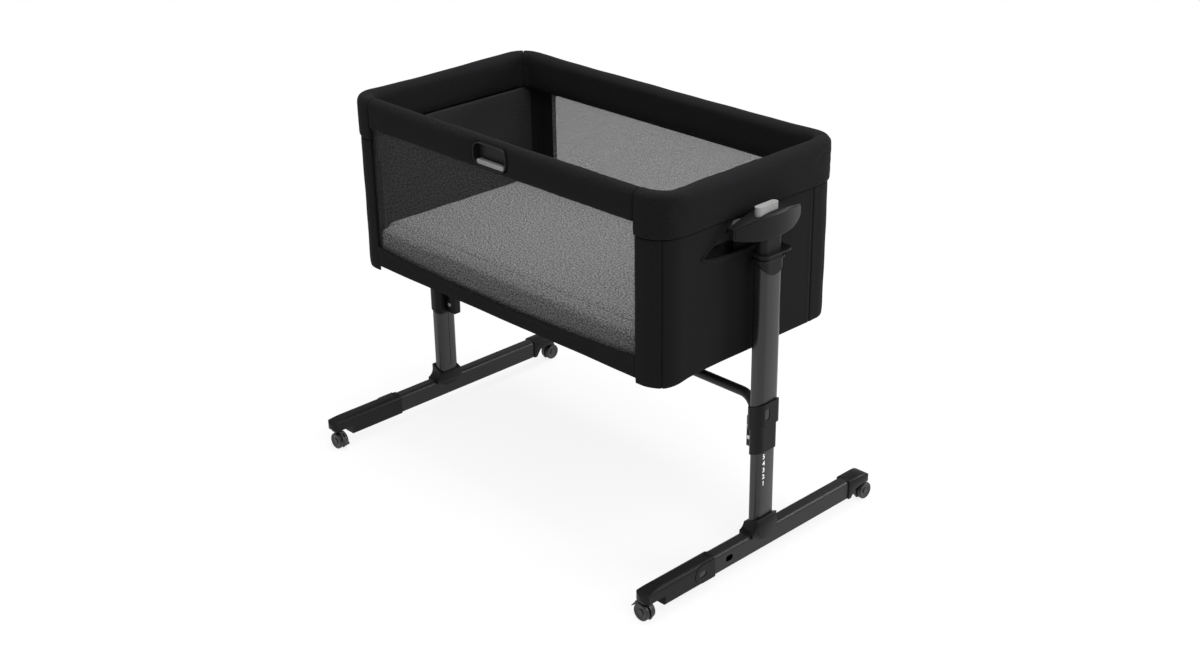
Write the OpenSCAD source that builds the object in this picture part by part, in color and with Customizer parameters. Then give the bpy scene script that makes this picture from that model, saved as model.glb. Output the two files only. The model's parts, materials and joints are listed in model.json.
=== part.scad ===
// Bedside sleeper crib: a fabric basket with a drop side, carried at both ends by telescopic T legs.
// Frame: +X along the basket to its right end, -Y the drop side, +Z up, origin on the floor
// under the middle of the crib. The legs stand at their top height, the basket in mid glide.

/* [Posts] */
// Distance between the two leg posts, centre to centre
post_span = 930; // [925:1:950]
// Width of the upper tube, along the crib
upper_w = 30; // [29:0.5:32]
// Depth of the upper tube, along the foot
upper_d = 54; // [53:1:58]
// Width of the lower tube
lower_w = 26; // [24:0.5:26]
// Depth of the lower tube
lower_d = 49; // [46:1:50]
// Wall of both tubes
tube_wall = 1.5; // [1.2:0.1:2]
// Top of the upper tubes
upper_top = 622; // [618:1:626]
// Bottom of the upper tubes, inside the sleeves
upper_bottom = 284; // [282:1:294]
// Top of the lower tubes, inside the upper tubes
lower_top = 464; // [434:5:484]
// Number of height positions
height_steps = 5; // [3:1:6]
// Rise from one height position to the next
height_pitch = 15; // [12:1:16]

/* [Sleeves] */
// Wall of the collar part of the sleeve on the flat sides
collar_t = 4; // [3.5:0.5:5]
// Wall of the collar part on the narrow sides
collar_side_t = 3; // [2.5:0.5:4]
// Height of the sleeve's collar at its middle
collar_top = 327; // [324:1:334]
// Lower edge of the collar at its middle
collar_bottom = 281; // [274:1:284]
// Lower edge of the sleeve's skirt at its middle
skirt_bottom = 228; // [224:1:234]
// Wall of the skirt
skirt_t = 2.2; // [1.8:0.1:2.4]
// Slant of the sleeve's edges, higher on the outside
edge_slant = 20; // [10:1:24]
// Height of the height button's centre
height_btn_z = 312; // [308:1:313]
// Width of the height button
height_btn_w = 12; // [10:1:13]
// Height of the height button
height_btn_h = 22; // [18:1:23]

/* [Cross tube] */
// Radius of the cross tube
cross_r = 9.5; // [8:0.5:10]
// Height of the cross tube's level run
cross_z = 327; // [324:1:338]
// Bend radius of the cross tube
cross_bend = 30; // [24:1:36]
// Depth of the socket that holds the cross tube's end
socket_d = 21; // [20:0.5:23]
// Width of the socket
socket_w = 25; // [24:0.5:28]

/* [Heads] */
// Length of the head housing along the foot
head_len = 178; // [170:2:182]
// Height of the head housing's crown
head_top = 704; // [700:1:706]
// Lowest line of the head housing
head_bottom = 654; // [650:1:656]
// Depth of the head housing from the basket outwards
head_depth = 37; // [35:1:40]
// Sweep of the head's outer face, seen from above
head_sweep_r = 175; // [165:5:190]
// Sweep of the head's keel, seen from the end
head_keel_r = 336; // [300:6:400]
// Sweep of the head's crown, seen from the end
head_crown_r = 230; // [210:5:300]
// Length of the glide button
glide_btn_len = 54; // [46:1:58]
// Width of the glide button
glide_btn_w = 14; // [12:0.5:15]
// Top of the glide button
glide_btn_top = 717; // [714:1:719]
// Travel of the basket's glide, each way
glide_travel = 20; // [10:1:20]

/* [Feet] */
// Distance of the front and rear casters from the posts
caster_y = 305; // [301:1:307]
// Width of the foot beam
beam_w = 28; // [26:0.5:30]
// Underside of the foot beam
beam_low = 25; // [24:0.5:27]
// Top of the foot beam
beam_high = 65; // [62.5:0.5:66.5]
// Rear end of the foot beam
beam_rear = 250; // [246:1:254]
// Front end of the foot beam, inside the front leg
beam_front = 190; // [186:1:192]
// Wall of the front leg's sleeve
leg_wall = 2.2; // [2:0.1:2.6]
// Rear edge of the front leg
leg_start = 142; // [138:1:146]
// Tip of the front leg
leg_tip = 322; // [320:1:326]
// Travel of the front leg, backwards
leg_travel = 75; // [50:1:78]
// Half length of the saddle under the post
saddle_half = 52; // [48:1:56]
// Height of the saddle's collar round the post
saddle_top = 87; // [83:1:92]
// Distance of the leg button from the post
leg_btn_y = 176; // [170:1:180]

/* [Casters] */
// Radius of a caster wheel
wheel_r = 17.5; // [16.5:0.5:17.5]
// Width of one caster wheel
wheel_w = 8; // [7:0.5:8]
// Gap between the two wheels of a caster
wheel_gap = 7; // [7:0.5:8]
// Trail of the wheels behind the swivel
trail = 6; // [5:0.5:6]
// Radius of the caster's stem
stem_r = 5; // [4:0.5:5]

/* [Basket] */
// Outer length of the basket's walls
basket_len = 868; // [862:2:870]
// Outer width of the basket's walls
basket_wid = 470; // [464:2:476]
// Outer corner radius of the walls
corner_r = 53.5; // [50:0.5:56]
// Thickness of the fabric walls
wall_t = 6; // [5:0.5:6]
// Lower edge of the walls
wall_bottom = 426; // [424:1:430]
// Seam between the walls and the rim pads
rim_seam = 694; // [692:1:698]
// Top of the rim pads
rim_top = 779; // [774:1:784]
// How far the rim pads stand out past the walls
rim_bulge = 3; // [2:0.5:4]
// Thickness of the rim pads
rim_t = 35; // [33:0.5:36]
// Radius of the top frame tube
frame_r = 9; // [8:0.5:9]
// Distance from the outside of an end wall to the drop side's opening
side_post = 66; // [64:1:72]

/* [Drop side] */
// Lower edge of the drop side's rail pad
rail_bottom = 716; // [712:1:720]
// Travel of the drop side
rail_travel = 200; // [150:5:200]
// Width of the release recess
recess_w = 92; // [84:1:98]
// Height of the release recess
recess_h = 46; // [42:1:48]
// Height of the front hem at its middle
hem_mid = 454; // [450:1:458]
// Rise of the hem's edge towards its ends
hem_rise = 14; // [8:1:18]

/* [Mattress] */
// Gap between the mattress and the end linings
mattress_gap = 5.5; // [4:0.5:8]
// Distance of the mattress from the outside of the drop side
mattress_front = 35; // [34:1:40]
// Thickness of the mattress at its sides
mattress_t = 50; // [44:1:52]
// Extra height of the mattress in its middle
mattress_crown = 7; // [4:0.5:8]
// Corner radius of the mattress
mattress_r = 45; // [38:1:60]

/* [Hidden] */
$fn = 48;

// Shared small sizes
overrun = 1;
seat = 0.3;
slip = 0.3;
fit = 0.1;
running = 0.05;
reach = 1200;
left = -1;
right = 1;

// Posts
post_x = post_span / 2;
upper_r = 12;
lower_r = 10;
plug_r = upper_r - tube_wall;
hole_r = 4.5;
foot_in_saddle = 51;

// Sleeves
collar_r = 14;
skirt_r = lower_r + skirt_t;
btn_sink = 1;
btn_t = 2.6;
btn_gap = 0.4;
height_btn_y = -10;
outer_x = upper_w / 2 + collar_t;

// Cross tube and its sockets
cross_wall = 1.5;
cross_y = 8;
leg_x = post_x - outer_x - socket_d / 2 + seat;
cross_end = 232;
socket_bottom = 224;
socket_top = 286;
socket_r = 8;
socket_taper = 16;
rivet_r = 2.5;
rivet_head_r = 4;
rivet_head_t = 1.5;
rivet_zs = [246, 270];

// Post collars
cup_t = 2.2;
cup_r = 30;
cup_low = 585;
flange_t = 4;
flange_w = 42;
flange_d = 80;
flange_r = 16;
flange_shift = 8;
flange_gap = 6;
flare_t = 4;
flare_w = 37;
flare_d = 66;
neck_w = 26;
neck_d = 52;
neck_r = 11;
plug_low = 582;
plug_gap = 0.4;

// Heads
head_in = post_x - upper_w / 2 - collar_side_t;
head_out = head_in + head_depth;
head_round = 7;
head_y = 5;
head_crown_y = 5;
head_bow_y = 62;
head_bow_z = 680;
head_bow_r = 28;
head_border = 3;
head_border_step = 1.5;
glide_btn_shift = 1.5;
glide_btn_y = -10;
glide_btn_x = head_in + head_depth / 2 + glide_btn_shift;
glide_btn_r = 6.5;
glide_btn_foot = 12;
glide_btn_travel = 4;
pocket_gap = 0.4;

// Glide rail on the stand, hub channel on the basket
wall_x = basket_len / 2;
wall_y = basket_wid / 2;
rail_inset = 14;
rail_out = wall_x - rail_inset;
rail_thick = 6;
rail_low = 660;
rail_high = 689;
rail_half = 72;
web_low = 668;
web_high = 684;
web_half = 30;
hub_plate_t = 5;
hub_lip_t = 4.5;
hub_cap_t = 4;
hub_gap = 0.5;
hub_edge = 8;
hub_in = rail_out - rail_thick - hub_gap - hub_plate_t;
hub_out = rail_out + hub_gap + hub_lip_t;
hub_stop_gap = 3;
hub_half = rail_half + glide_travel + hub_stop_gap;
strap_t = 4;
strap_half = 30;

// Feet
beam_wall = 1.8;
beam_top_r = 8;
beam_low_r = 3;
leg_gap = 0.3;
leg_w = beam_w + 2 * (leg_gap + leg_wall);
leg_low = beam_low - leg_gap - leg_wall;
leg_high = beam_high + leg_gap + leg_wall;
ring_t = 1.5;
ring_len = 8;
clip_half = 6;
roof_z = 43;
arch_reach = 31.5;
arch_y = caster_y - arch_reach;
nose_slope = 62;
nose_drop = 8;
nose_face_r = 5;
nose_tip_r = 24;
cap_past = 15;
cap_tip_r = 18;
cap_len = caster_y + cap_past - beam_rear;
cap_rise = 3.5;
cap_end_r = 14;
cap_crown_r = 170;
cap_crown_y = beam_rear + 33;
cap_slope = 36;
cap_plug = 30;
cap_under = 41;
saddle_t = 2.4;
saddle_flare = 18;
saddle_side = 16;
saddle_cut = 14;
boss_t = 1.2;
boss_w = 50;
boss_low = 47;
saddle_slant = 24;
leg_btn_w = 18;
leg_btn_h = 12;
leg_btn_t = 1.8;
leg_btn_pad_r = 19;
leg_btn_pad_t = 1;

// Casters
axle_r = 3;
hood_r = 20;
hood_side = 1.5;
hood_reach = 14;
swivel_r = 12;
swivel_t = 3.4;
stem_low = 2 * wheel_r + 0.3;
stem_top = 56;
hub_boss_r = 6;
dish_in_r = 8;
dish_out_r = 13.5;
dish_d = 1.5;
tread_round = 2.5;
pedal_in_r = 20.7;
pedal_out_r = 22.9;
pedal_from = 122;
pedal_to = 166;
pedal_tip = 34.5;
pedal_tip_z = 16;
pedal_tip_t = 2;
pedal_pin_x = 16;
pedal_pin_z = 38;
pedal_pin_r = 1.4;
pedal_ear_r = 2.8;
pedal_ear_t = 4;
pedal_cheek_t = 2.8;
pedal_gap = 0.2;
pedal_slot_x = 25;
pedal_lug_low = 30;

// Basket
frame_in = rim_t / 2 - rim_bulge;
side_half = wall_x - side_post;
path_x = wall_x - frame_in;
path_y = wall_y - frame_in;
path_r = corner_r - frame_in;
frame_sink = 3.5;
frame_z = rim_top - rim_t / 2 - frame_sink;
frame_wall = 1.2;
pad_in_rise = 8;
pad_in_seam = rim_seam + pad_in_rise;
pad_slot = 6;
pad_foot = 2;
seam_angle_left = 45;
slot_half = 96;
slot_low = 630;
slot_high = 703;
slot_lip_r = 440;
slot_dome_r = 102;
corner_drop = 10;
leg_flat_t = 5;
leg_flat_w = 6;
window_half = 336;
window_low = 499;
window_high = 688;
net_t = 1.2;
net_edge = 8;
net_lap = 6;
net_cols = 20;
net_rows = 7;
net_strand = 3;
lining_t = 3;
lining_gap = 4;
lining_x = hub_in - lining_gap - lining_t;
lining_low = 449;
lining_inset = 14;
lining_half = wall_y - lining_inset;
base_r = 8;
base_z = 436;
base_inset_x = 26;
base_inset_y = 20;
base_x = wall_x - base_inset_x;
base_y = wall_y - base_inset_y;
base_corner = 30;
base_cross_x = 150;
board_t = 4;
board_low = base_z + base_r + seat;
board_x = lining_x + board_t;
cover_t = 2;
guide_w = 24;
guide_d = 24;
guide_r = 8;
guide_inset = 2;
guide_t = 2.5;
guide_slot = 9;
guide_gap = 2;
guide_x = side_half + guide_gap;
guide_y = wall_y - wall_t - guide_inset - guide_d / 2;
board_step_y = guide_y - guide_d / 2 - overrun;

// Drop side
rail_end_gap = 2;
rail_half_x = side_half - rail_end_gap;
rail_pad_t = 33;
rail_inset_y = 12.5;
rail_y = wall_y - rail_inset_y;
rail_end_r = 14;
rail_low_r = 5;
bar_r = 7;
bar_inset_y = 18;
bar_y = wall_y - bar_inset_y;
bar_z = 760;
shoe_w = 17;
shoe_d = 17;
shoe_low = 649;
shoe_gap = 2;
shoe_high = rim_seam - shoe_gap;
shoe_neck = 6;
arm_t = 6;
recess_r = 18;
recess_z = 747;
recess_deep = 13;
bezel_t = 2;
bezel_proud = 1;
lever_w = 74;
lever_h = 9;
lever_deep = 8;
lever_gap = 1.5;
mesh_low = 446;

mattress_low = board_low + board_t + seat;
mattress_len = 2 * (lining_x - mattress_gap);
mattress_back = base_y + base_r - overrun;
mattress_wid = mattress_back + wall_y - mattress_front;

// Points of an arc about c, from angle a to angle b
function arc(c, r, a, b, n = 12) =
    [for (i = [0:n]) c + r * [cos(a + (b - a) * i / n), sin(a + (b - a) * i / n)]];

module on(side) {
    if (side == left) mirror([1, 0, 0]) children();
    else children();
}

module rrect(w, d, r) {
    square([w - 2 * r, d], center = true);
    square([w, d - 2 * r], center = true);
    for (sx = [-1, 1], sy = [-1, 1])
        translate([sx * (w / 2 - r), sy * (d / 2 - r)]) circle(r);
}

// A flat outline in depth and height, run along the crib between two values of x
module along_x(a, b) {
    translate([a, 0, 0]) rotate([90, 0, 90]) linear_extrude(b - a) children();
}

// A flat outline in width and height, run along the foot between two values of y
module along_y(a, b) {
    translate([0, b, 0]) rotate([90, 0, 0]) linear_extrude(b - a) children();
}

// All that lies above a plane that climbs outwards through the post's axis
module above_slant(z, slant) {
    translate([post_x, 0, z]) rotate([0, -slant, 0])
        translate([-reach / 2, -reach / 2, 0]) cube([reach, reach, reach]);
}

module post_prism(w, d, r, low, high) {
    translate([post_x, 0, low]) linear_extrude(high - low) rrect(w, d, r);
}

// Upper tube with the window that the height button enters
module upper_tube(side) {
    color("#26272a") on(side) difference() {
        post_prism(upper_w, upper_d, upper_r, upper_bottom, upper_top);
        post_prism(upper_w - 2 * tube_wall, upper_d - 2 * tube_wall, upper_r - tube_wall,
            upper_bottom - overrun, upper_top + overrun);
        height_button_hole();
    }
}

module height_button_hole() {
    along_x(post_x, post_x + reach)
        translate([height_btn_y, height_btn_z])
            rrect(height_btn_w + 2 * btn_gap, height_btn_h + 2 * btn_gap, height_btn_w / 2);
}

// Moulded sleeve: a collar that grips the upper tube, a skirt that guides the lower tube
module sleeve(side) {
    color("#1d1e20") on(side) difference() {
        union() {
            difference() {
                post_prism(upper_w + 2 * collar_t, upper_d + 2 * collar_side_t, collar_r,
                    skirt_bottom, collar_top + socket_d);
                above_slant(collar_top, edge_slant);
                below_slant(collar_bottom, edge_slant);
            }
            difference() {
                post_prism(lower_w + 2 * (slip + skirt_t), lower_d + 2 * (slip + skirt_t), skirt_r,
                    skirt_bottom - socket_d, upper_bottom);
                below_slant(skirt_bottom, edge_slant);
            }
            socket();
        }
        post_prism(upper_w + 2 * fit, upper_d + 2 * fit, upper_r + fit, upper_bottom, reach);
        post_prism(lower_w + 2 * slip, lower_d + 2 * slip, lower_r + slip, 0, reach);
        height_button_hole();
        translate([leg_x, cross_y, socket_bottom + overrun]) cylinder(r = cross_r + fit, h = reach);
        rivet_holes();
    }
}

module below_slant(z, slant) {
    translate([post_x, 0, z]) rotate([0, -slant, 0])
        translate([-reach / 2, -reach / 2, -reach]) cube([reach, reach, reach]);
}

module socket() {
    difference() {
        translate([leg_x, cross_y, socket_bottom]) linear_extrude(socket_top - socket_bottom) {
            rrect(socket_d, socket_w, socket_r);
            translate([0, -socket_w / 2 + socket_r / 2])
                square([socket_d / 2 + collar_t, socket_w - socket_r]);
        }
        for (s = [-1, 1]) along_x(0, post_x) translate([cross_y, 0])
            polygon([[s * socket_w / 2, socket_bottom - overrun], [s * reach, socket_bottom - overrun],
                [s * reach, socket_bottom + socket_taper], [s * socket_w / 2, socket_bottom + socket_taper],
                [s * socket_w / 3, socket_bottom - overrun]]);
    }
}

module rivet_holes() {
    for (z = rivet_zs)
        translate([leg_x, 0, z]) rotate([90, 0, 0])
            cylinder(r = rivet_r + fit, h = reach, center = true);
}

module cross_tube() {
    bend_x = leg_x - cross_bend;
    color("#222326") difference() {
        union() {
            along_x(-bend_x, bend_x) translate([cross_y, cross_z]) tube_ring();
            for (side = [left, right]) on(side) {
                translate([bend_x, cross_y, cross_z - cross_bend]) rotate([90, 0, 0])
                    rotate_extrude(angle = 90) translate([cross_bend, 0]) tube_ring();
                translate([leg_x, cross_y, cross_end])
                    linear_extrude(cross_z - cross_bend - cross_end) tube_ring();
            }
        }
        for (side = [left, right]) on(side) rivet_holes();
    }
}

module tube_ring() {
    difference() {
        circle(cross_r);
        circle(cross_r - cross_wall);
    }
}

module cross_tube_rivets() {
    color("#8d8f92") for (side = [left, right], z = rivet_zs)
        on(side) translate([leg_x, cross_y - socket_w / 2 - seat, z]) {
            rotate([-90, 0, 0]) cylinder(r = rivet_r, h = socket_w);
            rotate([90, 0, 0]) cylinder(r = rivet_head_r, h = rivet_head_t);
        }
}

// Collar under the head: a flared rim and a cup that ends in a tongue on the flat sides
module post_collars() {
    color("#242528") for (side = [left, right]) on(side) difference() {
        union() {
            intersection() {
                post_prism(upper_w + 2 * cup_t, upper_d + 2 * cup_t, upper_r + cup_t, cup_low, upper_top);
                along_x(0, reach) {
                    translate([0, cup_low + cup_r]) circle(cup_r);
                    translate([-reach / 2, cup_low + cup_r]) square([reach, reach]);
                }
            }
            post_prism(flare_w, flare_d, upper_r + cup_t, upper_top - flange_gap - flare_t,
                upper_top - flange_gap);
            translate([0, flange_shift, 0])
                post_prism(flange_w, flange_d, flange_r, upper_top, upper_top + flange_t);
        }
        post_prism(upper_w + 2 * fit, upper_d + 2 * fit, upper_r + fit, 0, upper_top);
        post_prism(neck_w + 2 * fit, neck_d + 2 * fit, neck_r + fit, 0, reach);
    }
}

// Boat-shaped housing at the top of a post, with a raised face inside a plain border
module head(side) {
    color("#202124") on(side) difference() {
        union() {
            head_body(head_border_step, 0);
            head_body(0, head_border);
            post_prism(neck_w, neck_d, neck_r, upper_top, head_bottom + head_round);
            post_prism(upper_w - 2 * (tube_wall + plug_gap), upper_d - 2 * (tube_wall + plug_gap),
                plug_r - plug_gap, plug_low, upper_top);
        }
        glide_button_prism(pocket_gap, glide_btn_top - glide_btn_foot - glide_btn_w - glide_btn_travel
            - pocket_gap, reach);
    }
}

module head_body(step, inset) {
    intersection() {
        translate([head_out - head_sweep_r, head_y, 0]) rotate_extrude(angle = 90, start = -45)
            head_section(head_sweep_r - head_depth, head_sweep_r - step);
        along_x(head_in, reach) head_outline(inset);
    }
}

// Outline seen from the end: a crown, a keel, a pointed front and a blunt rear
module head_outline(inset) {
    intersection() {
        translate([head_crown_y, head_bottom + head_keel_r]) circle(head_keel_r - inset, $fn = 96);
        translate([head_crown_y, head_top - head_crown_r]) circle(head_crown_r - inset, $fn = 96);
        translate([head_y - head_len / 2 + inset, 0]) square([head_len - 2 * inset, reach]);
        union() {
            translate([-head_bow_y, head_bow_z]) circle(head_bow_r - inset, $fn = 96);
            translate([-head_bow_y, 0]) square([reach, reach]);
            translate([-reach, head_bow_z]) square([2 * reach, reach]);
        }
    }
}

module head_section(r_in, r_out) {
    polygon(concat([[r_in, head_bottom - overrun], [r_out - head_round, head_bottom - overrun]],
        arc([r_out - head_round, head_bottom - overrun + head_round], head_round, -90, 0, 6),
        arc([r_out - head_round, head_top - head_round], head_round, 0, 90, 6),
        [[r_in, head_top]]));
}

module glide_button_prism(grow, low, high) {
    translate([glide_btn_x, glide_btn_y, low]) linear_extrude(high - low)
        rrect(glide_btn_w + 2 * grow, glide_btn_len + 2 * grow, glide_btn_r);
}

module glide_button(side) {
    color("#8b8c8e") on(side)
        glide_button_prism(0, glide_btn_top - glide_btn_foot - glide_btn_w, glide_btn_top);
}

// Steel rail that the basket glides on, with the web that ties it to the head
module glide_rails() {
    color("#9a9c9f") for (side = [left, right]) on(side) {
        translate([rail_out - rail_thick, -rail_half, rail_low])
            cube([rail_thick, 2 * rail_half, rail_high - rail_low]);
        translate([rail_out, -web_half, web_low])
            cube([head_in - rail_out, 2 * web_half, web_high - web_low]);
    }
}

module height_button(side) {
    back = post_x + outer_x - btn_sink - btn_t;
    color("#17181a") on(side) along_x(back, back + btn_t)
        translate([height_btn_y, height_btn_z]) rrect(height_btn_w, height_btn_h, height_btn_w / 2 - btn_gap);
}

// Lower tube with its row of locking holes and the groove on its inner side
module lower_tube(side) {
    groove_w = lower_d / 7;
    color("#292a2d") on(side) difference() {
        post_prism(lower_w, lower_d, lower_r, foot_in_saddle, lower_top);
        post_prism(lower_w - 2 * tube_wall, lower_d - 2 * tube_wall, lower_r - tube_wall,
            foot_in_saddle - overrun, lower_top + overrun);
        for (i = [0:height_steps - 1])
            translate([post_x, height_btn_y, height_btn_z - i * height_pitch]) rotate([0, 90, 0])
                cylinder(r = hole_r, h = reach);
        translate([post_x - lower_w / 2 - tube_wall / 2, -groove_w / 2, saddle_top + groove_w])
            cube([tube_wall, groove_w, lower_top - saddle_top - 2 * groove_w]);
    }
}

module beam_outline(grow) {
    w = beam_w + 2 * grow;
    low = beam_low - grow;
    high = beam_high + grow;
    rt = beam_top_r + grow;
    rl = beam_low_r + grow;
    polygon(concat(
        arc([w / 2 - rl, low + rl], rl, -90, 0, 6), arc([w / 2 - rt, high - rt], rt, 0, 90, 8),
        arc([rt - w / 2, high - rt], rt, 90, 180, 8), arc([rl - w / 2, low + rl], rl, 180, 270, 6)));
}

module beam_run(grow, a, b) {
    translate([post_x, 0, 0]) along_y(a, b) beam_outline(grow);
}

module foot_beam(side) {
    color("#2b2c2f") on(side) difference() {
        beam_run(0, -beam_front, beam_rear);
        beam_run(-beam_wall, -reach, reach);
        for (shift = [0, leg_travel])
            translate([0, shift, 0]) leg_button_prism(btn_gap, post_x, reach);
        post_prism(lower_w + 2 * fit, lower_d + 2 * fit, lower_r + fit, foot_in_saddle - overrun, reach);
    }
}

// Saddle: a moulded bridge over the beam with a collar for the lower tube and a tongue outside
module saddle(side) {
    outline_grow = saddle_t;
    color("#232427") on(side) difference() {
        union() {
            intersection() {
                beam_run(outline_grow, -saddle_half, saddle_half);
                along_x(0, reach) polygon([[-saddle_half, beam_high + outline_grow],
                    [-saddle_half, beam_high - beam_top_r],
                    [-saddle_half + saddle_cut, beam_high - saddle_side],
                    [saddle_half - saddle_cut, beam_high - saddle_side],
                    [saddle_half, beam_high - beam_top_r], [saddle_half, beam_high + outline_grow]]);
            }
            difference() {
                saddle_neck();
                above_slant(saddle_top, saddle_slant);
            }
            intersection() {
                translate([post_x, 0, 0]) along_y(-reach / 2, reach / 2)
                    translate([0, boss_low]) square([leg_w / 2 + boss_t, saddle_top - boss_low]);
                along_x(0, reach) {
                    translate([0, boss_low + boss_w / 2]) circle(boss_w / 2);
                    translate([-boss_w / 2, boss_low + boss_w / 2])
                        square([boss_w, saddle_top - boss_low - boss_w / 2]);
                }
            }
        }
        beam_run(fit, -reach, reach);
        post_prism(lower_w + 2 * fit, lower_d + 2 * fit, lower_r + fit, 0, reach);
    }
}

// Collar of the saddle, flaring down to the beam along the foot
module saddle_neck() {
    neck_out = lower_w + 2 * (fit + saddle_t + boss_t);
    half = lower_d / 2 + saddle_t + fit;
    intersection() {
        post_prism(neck_out, 2 * saddle_half, lower_r + saddle_t, beam_high - beam_top_r,
            saddle_top + saddle_flare);
        along_x(0, reach) polygon(concat([[-saddle_half, beam_high - beam_top_r]],
            arc([-half - saddle_flare, beam_high + saddle_flare], saddle_flare, -90, 0, 8),
            [[-half, reach], [half, reach]],
            arc([half + saddle_flare, beam_high + saddle_flare], saddle_flare, 180, 270, 8),
            [[saddle_half, beam_high - beam_top_r]]));
    }
}

// Rounded end in plan, shared by the nose of the front leg and the rear cap
module end_plan(tip, w, r) {
    translate([post_x, 0, 0]) linear_extrude(reach) {
        translate([-w / 2, -reach]) square([w, reach + tip - w / 2]);
        intersection() {
            translate([0, tip - r]) circle(r);
            translate([-w / 2, 0]) square([w, reach]);
        }
    }
}

module rear_cap(side) {
    w = beam_w + 2 * saddle_t;
    tip = beam_rear + cap_len;
    crown_z = beam_high + cap_rise - cap_crown_r;
    crown_end = acos((tip - cap_end_r - cap_crown_y) / cap_crown_r);
    end_z = crown_z + cap_crown_r * sin(crown_end) - cap_end_r;
    color("#252629") on(side) difference() {
        union() {
            intersection() {
                beam_run(cap_rise, beam_rear, tip);
                end_plan(tip, w, cap_tip_r);
                along_x(0, reach) polygon(concat(
                    [[beam_rear, beam_low], [beam_rear + cap_plug / 4, beam_low],
                    [caster_y - cap_slope, cap_under], [caster_y - swivel_r - overrun, roof_z],
                    [tip, roof_z]],
                    arc([tip - cap_end_r, end_z], cap_end_r, 0, crown_end, 8),
                    arc([cap_crown_y, crown_z], cap_crown_r, crown_end,
                        acos((beam_rear - cap_crown_y) / cap_crown_r), 8)));
            }
            beam_run(-beam_wall - seat, beam_rear - cap_plug, beam_rear);
        }
        stem_bore(caster_y);
    }
}

// Front leg: a moulded sleeve that slides over the beam and ends in a nose over the caster
module front_leg(side) {
    hollow_end = arch_y - 2 * leg_wall;
    color("#28292c") on(side) difference() {
        union() {
            intersection() {
                beam_run(leg_gap + leg_wall, -leg_tip, -leg_start);
                mirror([0, 1, 0]) end_plan(leg_tip, leg_w, nose_tip_r);
                along_x(0, reach) polygon(concat(
                    [[-leg_start, leg_low], [-arch_y, leg_low], [-arch_y, roof_z]],
                    arc([-leg_tip + nose_face_r, roof_z + nose_face_r], nose_face_r, 270, 180, 5),
                    arc([-leg_tip + nose_face_r, leg_high - nose_drop - nose_face_r],
                        nose_face_r, 180, 110, 5),
                    [for (i = [1:8]) let (t = i / 8) [-leg_tip + nose_slope * t,
                        leg_high - nose_drop * pow(1 - t, 2)]],
                    [[-leg_start, leg_high]]));
            }
            intersection() {
                beam_run(leg_gap + leg_wall + ring_t, -leg_start - ring_len, -leg_start);
                translate([post_x - clip_half, -reach, beam_high]) cube([2 * clip_half, reach, reach]);
            }
            leg_button_pad();
        }
        beam_run(leg_gap, -hollow_end, 0);
        leg_button_prism(btn_gap, post_x, reach);
        stem_bore(-caster_y);
    }
}

module leg_button_pad() {
    along_x(post_x, post_x + leg_w / 2 + leg_btn_pad_t) {
        translate([-leg_btn_y, (leg_low + leg_high) / 2]) circle(leg_btn_pad_r);
        translate([-leg_btn_y, (leg_low + leg_high) / 2 - leg_btn_pad_r])
            square([leg_btn_y - leg_start - overrun, 2 * leg_btn_pad_r]);
    }
}

module leg_button_prism(grow, a, b) {
    along_x(a, b) translate([-leg_btn_y, (leg_low + leg_high) / 2])
        rrect(leg_btn_w + 2 * grow, leg_btn_h + 2 * grow, leg_btn_h / 2 - btn_gap);
}

module leg_button(side) {
    back = post_x + beam_w / 2 + leg_gap;
    color("#141517") on(side) leg_button_prism(0, back, back + leg_btn_t);
}

module stem_bore(y) {
    translate([post_x, y, 0]) cylinder(r = stem_r + running, h = stem_top + running);
}

// Frame of a caster: the front ones roll sideways at rest, the rear ones trail backwards
module at_caster(side, end) {
    on(side) translate([post_x, end * caster_y, 0]) rotate([0, 0, end < 0 ? 0 : -90]) children();
}

// Caster frame: stem, swivel disc, hood between the wheels and the axle
module caster_frame(side, end) {
    color("#161719") at_caster(side, end) {
        translate([0, 0, roof_z - seat - swivel_t]) cylinder(r = swivel_r, h = swivel_t);
        translate([0, 0, stem_low]) cylinder(r = stem_r, h = stem_top - stem_low);
        difference() {
            translate([-trail, 0, wheel_r]) rotate([90, 0, 0])
                cylinder(r = hood_r, h = wheel_gap - 2 * hood_side, center = true);
            translate([-reach / 2, -reach / 2, -reach]) cube([reach, reach, reach + wheel_r / 4]);
            translate([-trail - hood_reach - reach, -reach / 2, 0]) cube([reach, reach, reach]);
        }
        translate([-trail, 0, wheel_r]) rotate([90, 0, 0])
            cylinder(r = axle_r, h = wheel_gap + 2 * wheel_w, center = true);
        if (end < 0) difference() {
            along_y(-pedal_ear_t / 2, pedal_ear_t / 2) {
                translate([-pedal_pin_x, pedal_pin_z]) circle(pedal_ear_r);
                translate([-pedal_pin_x - pedal_ear_r, pedal_lug_low])
                    square([2 * pedal_ear_r, pedal_pin_z - pedal_lug_low]);
            }
            pedal_pin(pedal_pin_r + running);
        }
    }
}

module caster_wheels(side, end) {
    color("#101113") at_caster(side, end) for (s = [-1, 1])
        translate([-trail, s * wheel_gap / 2, wheel_r]) rotate([-s * 90, 0, 0])
            rotate_extrude($fn = 64) polygon(concat(
                [[axle_r + running, 0], [wheel_r - overrun, 0], [wheel_r, overrun]],
                arc([wheel_r - tread_round, wheel_w - tread_round], tread_round, 0, 90, 6),
                [[dish_out_r, wheel_w], [dish_in_r, wheel_w - dish_d], [hub_boss_r, wheel_w - dish_d],
                [hub_boss_r, wheel_w], [axle_r + running, wheel_w]]));
}

module pedal_pin(r) {
    translate([-pedal_pin_x, 0, pedal_pin_z]) rotate([90, 0, 0])
        cylinder(r = r, h = pedal_ear_t + 2 * (pedal_gap + pedal_cheek_t), center = true);
}

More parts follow.
